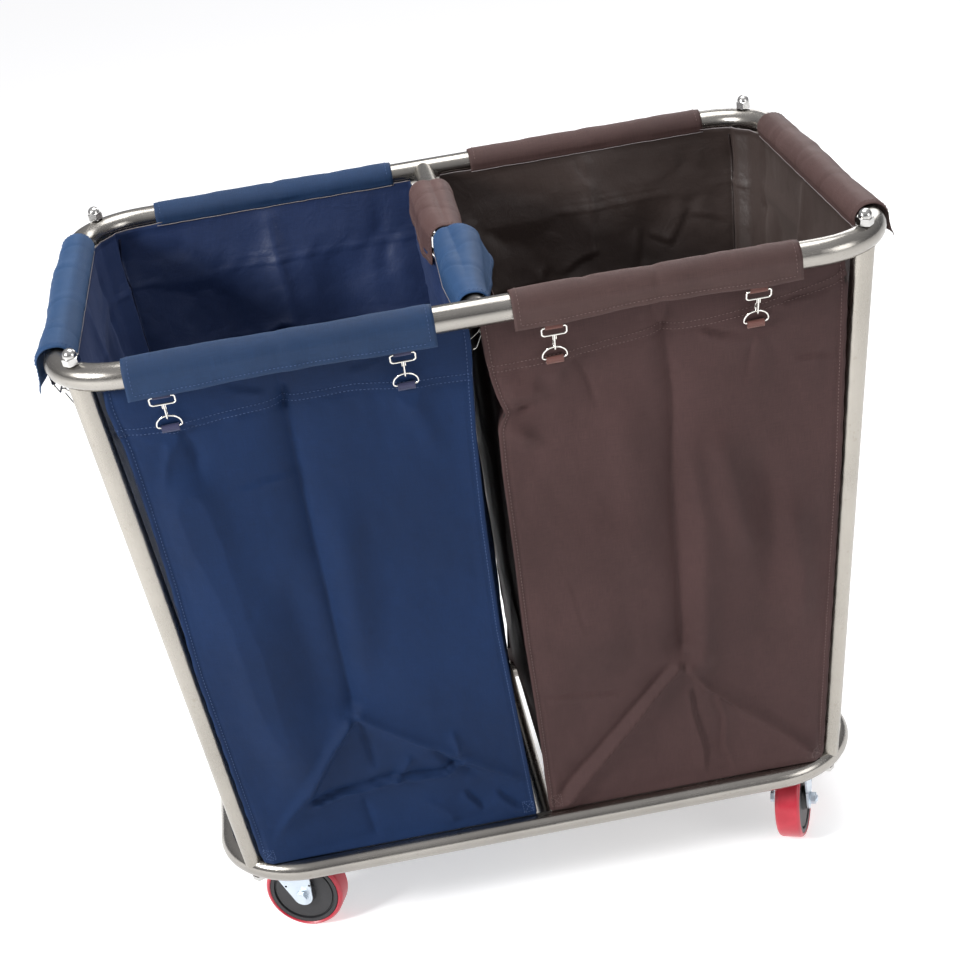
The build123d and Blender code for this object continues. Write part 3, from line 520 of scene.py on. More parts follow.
# ------------------------------------------------------------------ flaps: sizes
class Flap:
    """A strip of cloth folded over a top rail or over the crossbar.

    Its cross-section is measured outward from the rail's axis (away from the bag it
    holds) and up; "along" is the x or y the rail follows.
    """

    RAIL_WRAP = RAIL_RADIUS + 1.9     # radius of the cloth over a rail
    BAR_WRAP = BAR_RADIUS + 1.8       # radius of the cloth on top of the crossbar
    RAIL_TAIL = (-7.5, -5.0, -2.5)    # heights down the inner side, below the axis
    BAR_TAIL = (-12.0, -9.0, -6.0, -3.0)
    ARC_POINTS, HEM_POINTS = 25, 8

    def __init__(self, key, panel, span, hooks, hem, puff, creases,
                 out=0.0, tip=(0.0, 0.0), tent=None, lit=False):
        side = -1 if key == "blue" else 1
        self.key, self.panel, self.span, self.hooks = key, panel, span, hooks
        self.hem, self.puff, self.creases = hem, puff, creases
        self.out, self.tip, self.tent, self.lit = out, tip, tent, lit
        self.name = f"{key}_{PANEL_NAMES[panel]}"
        self.on_bar = panel == DIVIDER
        self.normal = {FRONT: (0, -1), REAR: (0, 1), END: (side, 0), DIVIDER: (-side, 0)}[panel]
        reach = (0, 0) if self.on_bar else (TOP_HALF_X, TOP_HALF_Y)
        self.axis = (self.normal[0] * reach[0], self.normal[1] * reach[1])

    def point(self, along, out, up):
        x, y = (self.axis[i] + self.normal[i] * out if self.normal[i] else along for i in (0, 1))
        return np.stack(np.broadcast_arrays(x, y, TOP_Z + up), -1)

    def profile(self, along):
        """(out, up) points from the inner edge over the tube to the hem's edge."""
        low, high = self.span
        hem = float(np.interp(along, *self.hem))
        drop = np.linspace(0, hem, self.HEM_POINTS + 1)[1:]
        angle = np.linspace(math.pi, 0, self.ARC_POINTS)
        if self.on_bar:
            # a loose tent over the thinner bar
            outer, inner, flare = (float(np.interp(along, *table)) for table in self.tent)
            tail = [(-inner - 0.8, z) for z in self.BAR_TAIL]
            reach = np.where(np.cos(angle) > 0, outer, inner)
            radius = self.BAR_WRAP + (reach - self.BAR_WRAP) * np.abs(np.cos(angle)) ** 1.35
            hem_out = radius[-1] + flare * (drop / hem)
        else:
            tail = [(-self.RAIL_WRAP, z) for z in self.RAIL_TAIL]
            wave = math.cos((along - low) / (high - low) * 2 * math.pi * 1.5)
            bulge = self.out * (0.55 + 0.45 * wave)
            radius = self.RAIL_WRAP + bulge * np.clip(np.cos(angle), 0, 1) ** 1.5
            tip = self.tip[0] * (1 - smooth(low, self.tip[1], along))
            hem_out = radius[-1] - 2.2 * (drop / 24.0) ** 1.2 + tip * (drop / hem) ** 1.5
        arc = np.c_[radius * np.cos(angle), radius * np.sin(angle)]
        return np.vstack([tail, arc, np.c_[hem_out, -drop]])


# span: the ends along the rail        hooks: places of the two hooks
# hem: (places, drop below the axis)   puff: how far the cloth swells off the tube
# creases: (place, slant, depth)       out: how far the hem side stands out from the rail
# tip: (outward flare of the hem at the low end, place where it dies out)
# tent: outer reach, inner reach and hem flare over the crossbar, each (places, values)
# lit: the flap takes the brighter lit cloth, painted light for a flap that the lamps fall on
FLAPS = [
    Flap("blue", FRONT, span=(-372, -47), hooks=(-338, -85), puff=1.2,
         hem=([-372, -338, -210, -85, -47], [25, 24, 20, 23, 24]),
         creases=[(-212, 0.0, 1.9), (-300, 0.25, 0.8), (-130, -0.3, 0.8)]),
    Flap("blue", REAR, span=(-349, -41), hooks=(-325, -66), puff=1.4,
         hem=([-349, -200, -41], [22, 20, 22]),
         creases=[(-196, 0.0, 1.9), (-120, 0.3, 1.0), (-280, -0.2, 0.8)]),
    Flap("blue", END, span=(-212, 207), hooks=(-190, 185), puff=5.0, out=4.5,
         tip=(5.0, -150), lit=True,
         hem=([-212, -190, -120, 60, 207], [31, 29, 22, 20, 22]),
         creases=[(66, 0.25, 2.8), (-60, -0.3, 2.2), (-150, 0.3, 1.4), (150, -0.2, 1.6)]),
    Flap("blue", DIVIDER, span=(-262, -20), hooks=(-215, -60), puff=1.6, lit=True,
         hem=([-262, -215, -120, -60, -20], [17, 18, 22, 27, 24]),
         creases=[(-100, 0.7, 1.8), (-170, -0.5, 1.6), (-60, 0.5, 1.4)],
         tent=(([-262, -200, -75, -40, -20], [15.5, 18, 31, 33, 27]),
               ([-262, -150, -20], [17, 22, 18]),
               ([-262, -200, -75, -40, -20], [1, 2, 9, 10, 6]))),
    Flap("brown", FRONT, span=(35, 344), hooks=(76, 296), puff=1.6,
         hem=([35, 76, 190, 296, 344], [22, 22, 17, 21, 21]),
         creases=[(188, 0.1, 1.6), (120, 0.5, 1.1), (240, -0.4, 1.3), (305, 0.4, 1.3)]),
    Flap("brown", REAR, span=(61, 368), hooks=(88, 340), puff=1.4,
         hem=([61, 210, 368], [22, 20, 22]),
         creases=[(205, 0.0, 1.9), (130, -0.3, 0.8), (300, 0.3, 1.0)]),
    Flap("brown", END, span=(-210, 212), hooks=(-186, 188), puff=4.0, out=3.0,
         tip=(6.0, -165),
         hem=([-210, -186, -100, 90, 212], [23, 22, 20, 20, 22]),
         creases=[(40, 0.5, 2.0), (-90, -0.4, 1.6), (130, 0.3, 1.6), (-10, -0.6, 1.0)]),
    Flap("brown", DIVIDER, span=(-15, 181), hooks=(30, 150), puff=1.6, lit=True,
         hem=([-15, 30, 100, 181], [30, 33, 24, 20]),
         creases=[(60, 0.6, 1.6), (120, -0.5, 1.4)],
         tent=(([-15, 30, 181], [20, 26, 27]),
               ([-15, 60, 181], [17, 21, 24]),
               ([-15, 30, 181], [3, 3, 2]))),
]


# ------------------------------------------------------------------ creases
def polyline_distance(x, z, points):
    """Signed distance to a polyline, and how far along it (0..1) the nearest point is."""
    points = np.asarray(points, float)
    lengths = path_lengths(points)
    best = np.full(x.shape, 1e9)
    sign = np.ones(x.shape)
    along = np.zeros(x.shape)
    for i, ((x0, z0), (x1, z1)) in enumerate(zip(points[:-1], points[1:])):
        dx, dz = x1 - x0, z1 - z0
        t = np.clip(((x - x0) * dx + (z - z0) * dz) / (dx * dx + dz * dz), 0, 1)
        distance = np.hypot(x - (x0 + t * dx), z - (z0 + t * dz))
        nearer = distance < best
        best = np.where(nearer, distance, best)
        sign = np.where(nearer, np.sign((x - x0) * dz - (z - z0) * dx), sign)
        place = (lengths[i] + t * (lengths[i + 1] - lengths[i])) / lengths[-1]
        along = np.where(nearer, place, along)
    return best * np.where(sign == 0, 1, sign), along


def crease(x, z, points, height, width, kind, fade):
    """Relief of one crease along a polyline, fading over a share of its length at each end.

    fold: sharp line, one side proud of the other. valley, ridge: sharp dip or rise.
    soft: rounded swell.
    """
    if kind != "soft" and width <= 10:
        width *= 0.74
    signed, t = polyline_distance(x, z, points)
    taper = smooth(0, fade[0], t) * smooth(0, fade[1], 1 - t)
    distance = np.abs(signed)
    far = np.exp(-np.maximum(0, distance - 3 * width) / width)
    if kind == "soft":
        shape = bell(distance, width)
    elif kind == "fold":
        shape = np.sign(signed) * np.exp(-distance / width) * np.minimum(1, distance / 2.5)
    else:
        shape = np.exp(-distance / width) * (1 if kind == "ridge" else -1)
    return height * shape * taper * far


# creases of the front panels: (x, z) points, height, width, kind, (start fade, end fade)
BLUE_CREASES = [
    ([(-217, 800), (-216, 719), (-215, 602), (-211, 496), (-208, 340), (-209, 321)],
     6.5, 15, "valley", (0.02, 0.05)),
    ([(-341, 700), (-323, 544), (-304, 381), (-287, 274), (-300, 190)],
     6.5, 30, "soft", (0.12, 0.25)),
    ([(-178, 640), (-184, 480), (-190, 360)], 4.2, 22, "soft", (0.3, 0.3)),
    ([(-252, 560), (-243, 400), (-232, 300)], -4.0, 20, "soft", (0.3, 0.3)),
    ([(-209, 321), (-240, 285), (-280, 222), (-340, 158)], 4.0, 10, "ridge", (0.04, 0.3)),
    ([(-209, 318), (-260, 244), (-283, 205)], 3.2, 7, "fold", (0.05, 0.2)),
    ([(-290, 201), (-245, 213), (-206, 217), (-174, 223), (-116, 216), (-77, 236)],
     4.2, 8, "fold", (0.1, 0.15)),
    ([(-208, 327), (-140, 272), (-92, 237), (-50, 206), (-13, 181)],
     4.4, 10, "ridge", (0.04, 0.1)),
    ([(-206, 320), (-193, 238)], -3.2, 6, "ridge", (0.1, 0.3)),
    ([(-148, 252), (-178, 210)], 3.4, 7, "ridge", (0.2, 0.3)),
    ([(-98, 280), (-92, 238)], 3.6, 7, "ridge", (0.3, 0.3)),
    ([(-128, 262), (-100, 222), (-66, 200)], -3.4, 8, "ridge", (0.2, 0.3)),
    ([(-96, 182), (-74, 150)], 3.4, 6, "fold", (0.2, 0.3)),
    ([(-60, 176), (-36, 150), (-12, 138)], 3.4, 7, "fold", (0.2, 0.2)),
    ([(-150, 186), (-120, 160), (-108, 140)], 2.2, 9, "ridge", (0.3, 0.2)),
    ([(-218, 205), (-208, 140)], -2.2, 7, "ridge", (0.2, 0.1)),
    ([(-290, 652), (-250, 658), (-215, 661)], 1.5, 6, "fold", (0.3, 0.1)),
    ([(-330, 742), (-320, 700), (-318, 668)], -2.6, 9, "ridge", (0.05, 0.5)),
    ([(-334, 738), (-352, 700), (-362, 660)], 2.2, 8, "ridge", (0.05, 0.5)),
    ([(-213, 770), (-219, 735)], -2.6, 5, "ridge", (0.2, 0.2)),
    ([(-85, 740), (-70, 690), (-64, 640)], 2.2, 12, "soft", (0.1, 0.5)),
    ([(-280, 778), (-230, 764)], 1.8, 7, "fold", (0.3, 0.2)),
    ([(-150, 770), (-100, 779)], 1.5, 7, "fold", (0.3, 0.3)),
]
BROWN_CREASES = [
    ([(184, 800), (196, 748), (200, 672), (191, 526), (189, 430), (187, 317)],
     6.0, 14, "valley", (0.02, 0.05)),
    ([(186, 316), (155, 281), (125, 246), (70, 184), (12, 124)], 5.0, 9, "ridge", (0.04, 0.05)),
    ([(176, 318), (140, 280), (62, 196), (8, 140)], -2.8, 7, "ridge", (0.1, 0.1)),
    ([(188, 312), (210, 276), (245, 240), (279, 207), (320, 165), (358, 129)],
     5.0, 9, "ridge", (0.04, 0.05)),
    ([(213, 268), (252, 226)], -3.0, 6, "ridge", (0.2, 0.4)),
    ([(191, 279), (194, 235), (204, 180), (203, 128)], 2.2, 8, "fold", (0.1, 0.4)),
    ([(219, 266), (229, 220), (226, 175), (240, 130)], -2.0, 8, "fold", (0.15, 0.3)),
    ([(210, 640), (222, 500), (213, 362), (206, 284)], 4.4, 15, "soft", (0.2, 0.1)),
    ([(240, 640), (262, 520), (276, 440)], 4.2, 17, "soft", (0.25, 0.3)),
    ([(318, 530), (334, 420), (330, 320)], 4.0, 17, "soft", (0.25, 0.3)),
    ([(290, 600), (300, 470), (296, 360)], -3.4, 17, "soft", (0.25, 0.3)),
    ([(110, 560), (90, 420), (80, 300)], 4.4, 42, "soft", (0.25, 0.3)),
    ([(140, 700), (150, 560), (146, 420)], 3.2, 26, "soft", (0.25, 0.3)),
    ([(60, 470), (70, 400), (76, 372)], 0.5, 8, "fold", (0.3, 0.3)),
    ([(8, 706), (34, 710), (70, 704)], 5.0, 10, "soft", (0.05, 0.5)),
    ([(6, 690), (30, 688), (62, 694)], -5.0, 6, "ridge", (0.02, 0.6)),
    ([(6, 668), (26, 660), (52, 640)], 4.0, 10, "soft", (0.05, 0.5)),
    ([(333, 694), (360, 690), (387, 686)], 1.4, 5, "fold", (0.2, 0.05)),
    ([(4, 301), (70, 292), (133, 280)], 1.3, 5, "fold", (0.05, 0.3)),
    ([(234, 746), (262, 735), (300, 731)], 3.4, 7, "fold", (0.15, 0.3)),
    ([(176, 796), (174, 770)], 2.6, 7, "ridge", (0.1, 0.3)),
    ([(204, 785), (196, 752)], -2.8, 6, "ridge", (0.1, 0.2)),
    ([(286, 778), (330, 762), (366, 768)], 2.4, 7, "fold", (0.2, 0.2)),
    ([(96, 742), (110, 712), (118, 668)], -2.6, 9, "ridge", (0.05, 0.5)),
    ([(60, 744), (44, 722), (24, 706)], 3.0, 9, "ridge", (0.05, 0.3)),
    ([(296, 752), (290, 716), (280, 670)], -2.4, 9, "ridge", (0.05, 0.5)),
]


def gift_fold(x, height, half, apex, middle, depth):
    """Gift-bag fold: ridges run from the bottom corners up to an apex over the middle,
    and the triangle under them slopes in towards the bottom edge."""
    left = apex * (x + half) / (middle + half)
    right = apex * (half - x) / (half - middle)
    line = np.minimum(left, right)
    under = np.clip((line - height) / apex, 0, 1)
    over = np.clip(height - line, 0, None)
    groove = np.exp(-over / 26.0) * smooth(0, 40, line) * smooth(0, 18, over)
    return -depth * under ** 1.15 - 2.6 * groove


def wall_relief(side, panel, x, z, half):
    """Rear, end and divider walls: the gift fold, plus creases that differ between walls."""
    apex = 190.0 if panel == REAR else 205.0
    depth, strength = (5.0, 0.6) if panel == DIVIDER else (9.0, 1.0)
    apex_z = BAG_LOW + apex
    rng = np.random.default_rng(100 + panel + (0 if side < 0 else 50))
    relief = gift_fold(x, z - BAG_LOW, half, apex, 0.0, depth)
    relief += crease(x, z, [(0, 800), (2, 690), (-3, 520), (0, apex_z)],
                     5.0 * strength, 14, "valley", (0.02, 0.05))
    for s in (-1, 1):
        corner = [(0, apex_z), (s * half * 0.5, BAG_LOW + apex * 0.5),
                  (s * (half - 6), BAG_LOW + 4)]
        relief += crease(x, z, corner, 3.6 * strength, 9, "ridge", (0.04, 0.08))
        swell = [(s * half * 0.42, 770), (s * half * 0.50, 560), (s * half * 0.46, 380)]
        relief += crease(x, z, swell, 5.0 * strength, 34, "soft", (0.2, 0.2))
    for _ in range(9):
        x0, z0 = rng.uniform(-half * 0.8, half * 0.8), rng.uniform(420, 770)
        angle, length = rng.uniform(-0.6, 0.6), rng.uniform(35, 95)
        if rng.random() < 0.45:
            angle += math.pi / 2
        x1, z1 = x0 + length * math.cos(angle), z0 + length * math.sin(angle)
        middle = ((x0 + x1) / 2, (z0 + z1) / 2 + rng.uniform(-6, 6))
        height, width = rng.uniform(1.6, 3.4) * strength, rng.uniform(5, 9)
        relief += crease(x, z, [(x0, z0), middle, (x1, z1)], height, width, "fold", (0.3, 0.3))
    # the line left by packing, a hand's width under the seam
    relief += crease(x, z, [(-half + 5, 642), (0, 646), (half - 5, 640)],
                     1.5 * strength, 6, "fold", (0.05, 0.05))
    return relief


# ------------------------------------------------------------------ bags
class Bag:
    """One bag. side is -1 on the left, 1 on the right; outlines use |x|.

    near: |x| of the front panel's edge by the divider, as (heights, |x|)
    edge: |x| of the front panel's edge by the leg, as (heights, |x|)
    seam: height of the seam under the front's top band, as (x, heights)
    apex: (height above the bottom, x) of the front panel's gift fold
    """

    # grid heights closer together than the even rows, at the bottom and at the top
    LOW_ROWS = (5.5, 3.2, 1.3, 0.2)
    TOP_ROWS = (1.5, 4)
    # the bottom's rings, as shares of the rim's size
    BOTTOM_RINGS = (0.992, 0.97, 0.93, 0.86, 0.78, 0.68, 0.58, 0.48, 0.38, 0.28, 0.18, 0.08, 0.02)

    def __init__(self, key, side, seed, near, edge, seam, apex, creases):
        self.key, self.side, self.seed = key, side, seed
        self.near, self.edge, self.seam = near, edge, seam
        self.apex, self.creases = apex, creases
        self.flaps = [flap for flap in FLAPS if flap.key == key]
        self.shape_wall()

    def divider_x(self, y, z):
        """|x| of the divider wall: tight on the half its flap holds, slack on the other."""
        below = BAG_TOP - z
        panel_y = PANEL_Y[0] + (PANEL_Y[1] - PANEL_Y[0]) * below / (BAG_TOP - BAG_LOW)
        own = smooth(-25, 25, self.side * y)
        held = 13 + 6.0 * math.exp(-below / 45.0) + 3.6 * bell(z - RING_Z, 26.0)
        slack = 12 + 16.0 * math.exp(-below / 260.0)
        wall = held * own + slack * (1 - own)
        front = smooth(panel_y - 75, panel_y, -y)
        rear = smooth(panel_y - 60, panel_y - 5, y)
        near = np.interp(z, *self.near)
        return wall * (1 - front) * (1 - rear) + near * front + held * rear * (1 - front)

    def outline(self, z):
        """Closed loop of (|x|, y) at a height: front, divider, rear, end."""
        t = (BAG_TOP - z) / (BAG_TOP - BAG_LOW)
        panel_y = PANEL_Y[0] + (PANEL_Y[1] - PANEL_Y[0]) * t
        end_x = END_X[0] + (END_X[1] - END_X[0]) * t
        leg_t = (TOP_Z - z) / (TOP_Z - LOW_Z)
        leg_x, leg_y = (top + (low - top) * leg_t for top, low in zip(LEG_TOP, LEG_LOW))
        rear_x = leg_x - LEG_GAP
        front_x = min(rear_x, np.interp(z, *self.edge))
        near = np.interp(z, *self.near)
        back = self.divider_x(panel_y, z)
        front_t, divider_t, rear_t, end_t = np.split(ACROSS, STARTS[1:-1])

        front = np.c_[front_x + (near - front_x) * front_t, np.full(COUNTS[FRONT], -panel_y)]
        y = -panel_y + 2 * panel_y * divider_t
        divider = np.c_[self.divider_x(y, z), y]
        divider[0, 0] = near
        rear = np.c_[back + (rear_x - back) * rear_t, np.full(COUNTS[REAR], panel_y)]
        # the end panel steps inside the leg at each corner
        step = [(leg_x - 16.5, leg_y - 8), (end_x - 9, leg_y - 30), (end_x, leg_y - 62)]
        path = np.array([(rear_x, panel_y), *step, *((x, -y) for x, y in step[::-1]),
                         (front_x, -panel_y)])
        distance = path_lengths(path)
        along = distance[-1] * end_t
        end = np.c_[np.interp(along, distance, path[:, 0]), np.interp(along, distance, path[:, 1])]
        points = np.vstack([front, divider, rear, end])

        # near the top the loop fits inside the rail and its bends
        fit = smooth(768, 800, z)
        max_y = TOP_HALF_Y - RAIL_GAP
        x = np.minimum(points[:, 0], TOP_HALF_X - RAIL_GAP)
        y = np.clip(points[:, 1], -max_y, max_y)
        bend_x, bend_y = TOP_HALF_X - TOP_BEND, TOP_HALF_Y - TOP_BEND
        dx, dy = x - bend_x, np.abs(y) - bend_y
        reach = np.hypot(dx, dy)
        outside = (dx > 0) & (dy > 0) & (reach > TOP_CORNER_RADIUS)
        shrink = np.where(outside, TOP_CORNER_RADIUS / np.maximum(reach, 1e-6), 1.0)
        x = np.where(outside, bend_x + dx * shrink, x)
        y = np.where(outside, np.sign(y) * (bend_y + dy * shrink), y)
        return points * (1 - fit) + np.c_[x, y] * fit

    def fold_relief(self, flat):
        """Large folds and creases, panel by panel."""
        relief = np.zeros(flat.shape[:2])
        for panel in range(4):
            cols = PANEL == panel
            x, z = flat[:, cols, panel % 2], flat[:, cols, 2]
            if panel == FRONT:
                middle = (x[:, :1] + x[:, -1:]) / 2
                half = np.abs(x[:, -1:] - x[:, :1]) / 2
                apex, apex_x = self.apex
                relief[:, cols] = gift_fold(
                    x - middle, z - BAG_LOW, half, apex, apex_x - middle, depth=5.0)
                relief[:, cols] += 2.0 * sum(crease(x, z, *row) for row in self.creases)
            else:
                middle = (x.max(1)[:, None] + x.min(1)[:, None]) / 2
                half = (x.max(1) - x.min(1)).mean() / 2
                strength = 1.0 if panel == DIVIDER else 1.6
                relief[:, cols] = strength * wall_relief(self.side, panel, x - middle, z, half)
        return relief

    def add_ring_pull(self, relief, flat):
        """Cloth drawn up and out at each D ring, with small creases fanning below it."""
        for flap in self.flaps:
            cols = PANEL == flap.panel
            swell, strength = (1.5, 0.5) if flap.on_bar else (4.8, 1)
            for hook in flap.hooks:
                across = flat[:, cols, flap.panel % 2] - hook
                drop = RING_Z - flat[:, cols, 2]
                below = np.maximum(drop, 0)
                fan = bell(across, 14 + 0.30 * below) * np.cos(across / (6 + 0.15 * below) * 1.5)
                fan *= np.exp(-below / 90.0) * smooth(0, 18, drop)
                above = bell(across, 20) * bell(drop + 28, 18.0) * np.cos(across / 6.5)
                relief[:, cols] += swell * bell(across, 24) * bell(drop, 26)
                relief[:, cols] += (1.9 * fan + 1.2 * above) * strength

    def seam_relief(self, z, arc):
        """Doubled band above the seam, drawn-in stitch lines, and the corner seams' welts."""
        over = z - self.seam_z
        relief = 0.9 * smooth(-0.8, 0.8, over) - 1.5 * bell(over, 2.4) - 0.8 * bell(over - 8, 2.0)
        relief += 0.55 * bell(over, 10.0) * np.sin(arc / 5.2 + self.seed)
        edge = TO_EDGE * PANEL_WIDTH
        welt = 1.5 * bell(edge, 3.0) - 1.1 * bell(edge - 6.5, 1.6)
        welt = welt + 0.35 * np.sin(z / 5.0 + self.seed) * bell(edge, 6.0)
        return relief + np.where(IS_FACE, welt, 0)

    def limit(self, relief, z):
        """Keep the cloth off the rails, the legs and the hooks."""
        hook_band = np.exp(-((z - HOOK_Z) / 14.0) ** 4)
        out = by_panel(11.0, 3.5, 8.0) * (1 - hook_band) + by_panel(11.0, 0.2, 0.7) * hook_band
        under_rail = np.interp(z, [690, 715, 732, 758, 775, 790], [11.0, 6.0, 2.3, 2.3, 3.5, 3.0])
        out = np.where(PANEL == DIVIDER, out, np.minimum(out, under_rail))
        out = np.where((PANEL == END) & (TO_EDGE < 0.14), 1.0, out)
        out = np.where(IS_FACE & (z > 795), 0.0, out)
        out = np.minimum(out, np.where(z > 780, np.interp(z, [780, 800], [8.5, 0.4]), 99))
        return np.clip(relief, np.interp(z, [770, 794], [-20.0, -0.25]), out)

    def settle(self, relief, height):
        """The cloth settles out over the bottom ring between the corners."""
        from_leg = np.where(PANEL == FRONT, ACROSS, np.where(PANEL == REAR, 1 - ACROSS, TO_EDGE))
        spread = smooth(0.0, 0.035, from_leg)
        spread = spread * np.where(PANEL == END, smooth(0.1, 0.2, TO_EDGE), 1)
        relief = relief + by_panel(6.4, 0.0, 3.0) * (1 - smooth(2, 58, height)) * spread
        low = 1 - smooth(0, 12, height)
        least, most = by_panel(6.2, -1.5, -1.5) * spread, by_panel(7.0, 2.0, 3.2) * spread
        return relief * (1 - low) + np.clip(relief, least, most) * low

    def shape_wall(self):
        """Work out the wall's grid of points, top row first."""
        heights = [*np.linspace(BAG_TOP, BAG_LOW + 8, 164), *(BAG_LOW + d for d in self.LOW_ROWS),
                   *(BAG_TOP - d for d in self.TOP_ROWS)]
        self.heights = np.array(sorted({round(float(z), 2) for z in heights}, reverse=True))
        base = np.array([self.outline(z) for z in self.heights])
        z = np.repeat(self.heights[:, None], base.shape[1], 1)
        steps = np.linalg.norm(np.roll(base, -1, 1) - base, axis=2)
        self.arc = np.concatenate([np.zeros((len(base), 1)), np.cumsum(steps, 1)[:, :-1]], 1)
        tangent = np.roll(base, -1, 1) - np.roll(base, 1, 1)
        tangent /= np.linalg.norm(tangent, axis=2)[..., None]
        normal = np.stack([tangent[..., 1], -tangent[..., 0]], 2)
        from_centre = base - base.mean(1)[:, None, :]
        normal *= np.where((from_centre * normal).sum(2) < 0, -1, 1)[..., None]
        flat = np.stack([base[..., 0] * self.side, base[..., 1], z], 2)

        # folds and broad unevenness die out at the panel edges
        soft = smooth(0, 0.07, TO_EDGE)
        soft = np.where(PANEL == END, soft * smooth(0.03, 0.15, TO_EDGE), soft)
        broad = noise(flat * np.array([1, 1, 0.7]), 130.0, self.seed, 2) * 5.0
        medium = noise(flat * np.array([1, 1, 0.5]), 46.0, self.seed + 5, 3) * 2.1
        tiny = noise(flat, 15.0, self.seed + 9, 2) * 0.35
        relief = (self.fold_relief(flat) + broad + medium) * soft
        relief += tiny * smooth(0, 0.03, TO_EDGE)
        relief *= 0.35 + 0.65 * smooth(0, 55, BAG_TOP - z)

        self.seam_z = np.where(PANEL == FRONT, np.interp(flat[..., 0], *self.seam),
                               741.0 + 3.0 * np.sin(self.arc / 90.0 + self.seed))
        self.add_ring_pull(relief, flat)
        relief += self.seam_relief(z, self.arc)
        relief = self.settle(self.limit(relief, z), z - BAG_LOW)
        walls = base + normal * relief[..., None]

        # the top edge climbs the inside of the rail under each flap and dips between them
        held = np.zeros(z.shape)
        for flap in self.flaps:
            cols = PANEL == flap.panel
            along = flat[:, cols, flap.panel % 2]
            low, high = flap.span
            held[:, cols] = smooth(-4, 26, np.minimum(along - low, high - along))
        self.free_top = (held[0] < 0.35) & (PANEL != DIVIDER)
        free = 1 - held
        rise = smooth(BAG_TOP - 36, BAG_TOP, z)
        wave = noise(flat, 38.0, self.seed + 3, 2)
        climb = held * by_panel(12.0, 13.0, 12.0) + free * by_panel(10.0, -5.0, 10.0)
        top_z = z + rise * (climb + 0.6 * wave)
        walls = walls - normal * np.maximum(0, rise * free * 1.5 * wave)[..., None]
        self.grid = np.stack([walls[..., 0] * self.side, walls[..., 1], top_z], 2)

    def build(self):
        """The wall and the bottom as one cloth."""
        rows, cols = self.grid.shape[:2]
        z = np.repeat(self.heights[:, None], cols, 1)
        points = [self.grid.reshape(-1, 3)]
        uvs = [np.stack([self.arc, z], 2).reshape(-1, 2)]
        rim = self.grid[-1]
        centre = np.array([rim[:, 0].mean(), 0.0, BAG_LOW])
        for share in self.BOTTOM_RINGS:
            ring = centre + (rim - centre) * share
            ripple = np.abs(noise(ring, 80.0, self.seed + 2, 3)) * 2.6 * (1 - share ** 6)
            ring[:, 2] = BAG_LOW + 0.5 + (0.3 if share > 0.95 else 0.0) + ripple
            points.append(ring)
            uvs.append(ring[:, :2])
        rings = rows + len(self.BOTTOM_RINGS)
        faces = grid_faces(rings, cols, wrap=True)
        faces.append(tuple(range((rings - 1) * cols, rings * cols)))
        body = make_object(f"{self.key}_bag_body", np.vstack(points), faces, np.vstack(uvs),
                           MATERIALS[self.key], MATERIALS[self.key + "_in"])
        face_outward(body, (0, -1, 0))
        solidify(body, 0.9, offset=-1.0, inner_slot=1)
        register(body, f"{self.key}_cloth", f"{self.key}_bag")

    def surface(self, col, z):
        """Point and outward normal on the wall at a (fractional) column and a height."""
        rows, cols = self.grid.shape[:2]
        row = np.interp(-z, -self.heights, np.arange(rows))
        row0 = min(int(row), rows - 2)
        down = row - row0
        col0 = int(math.floor(col)) % cols
        col1, over = (col0 + 1) % cols, col - math.floor(col)
        a, b = self.grid[row0, col0], self.grid[row0, col1]
        c, d = self.grid[row0 + 1, col0], self.grid[row0 + 1, col1]
        point = (a * (1 - over) + b * over) * (1 - down) + (c * (1 - over) + d * over) * down
        normal = unit(np.cross(b - a, c - a))
        middle = self.grid[row0].mean(0)
        if np.dot(normal[:2], (point - middle)[:2]) < 0:
            normal = -normal
        return point, normal

    def stitch(self, path, **sizes):
        """Stitches along a path of (column, height)."""
        THREAD[self.key].run(*zip(*(self.surface(col, z) for col, z in path)), **sizes)


BAGS = {
    "blue": Bag(
        "blue", side=-1, seed=3,
        near=([133, 249, 411, 561, 673, 778, 803], [11, 16, 23, 22, 18, 11, 11]),
        edge=([133, 266, 397, 550, 655, 722, 790, 803], [364, 367, 373, 378, 384, 389, 400, 408]),
        seam=([-400, -380, -340, -326, -312, -271, -210, -143, -70, -13, 0],
              [744, 742, 739, 735, 738, 742, 745, 747, 737, 734, 734]),
        apex=(192.0, -209.0), creases=BLUE_CREASES),
    "brown": Bag(
        "brown", side=1, seed=11,
        near=([133, 281, 379, 501, 612, 668, 678, 687, 696, 710, 738, 788, 803],
              [5, 5, 3, 4, 4, 6, 10, 16, 13, 9, 4, 2, 2]),
        edge=([133, 388, 567, 790, 803], [369, 379, 386, 400, 408]),
        seam=([0, 94, 191, 239, 288, 361, 390], [738, 741, 751, 751, 756, 768, 775]),
        apex=(184.0, 187.0), creases=BROWN_CREASES),
}


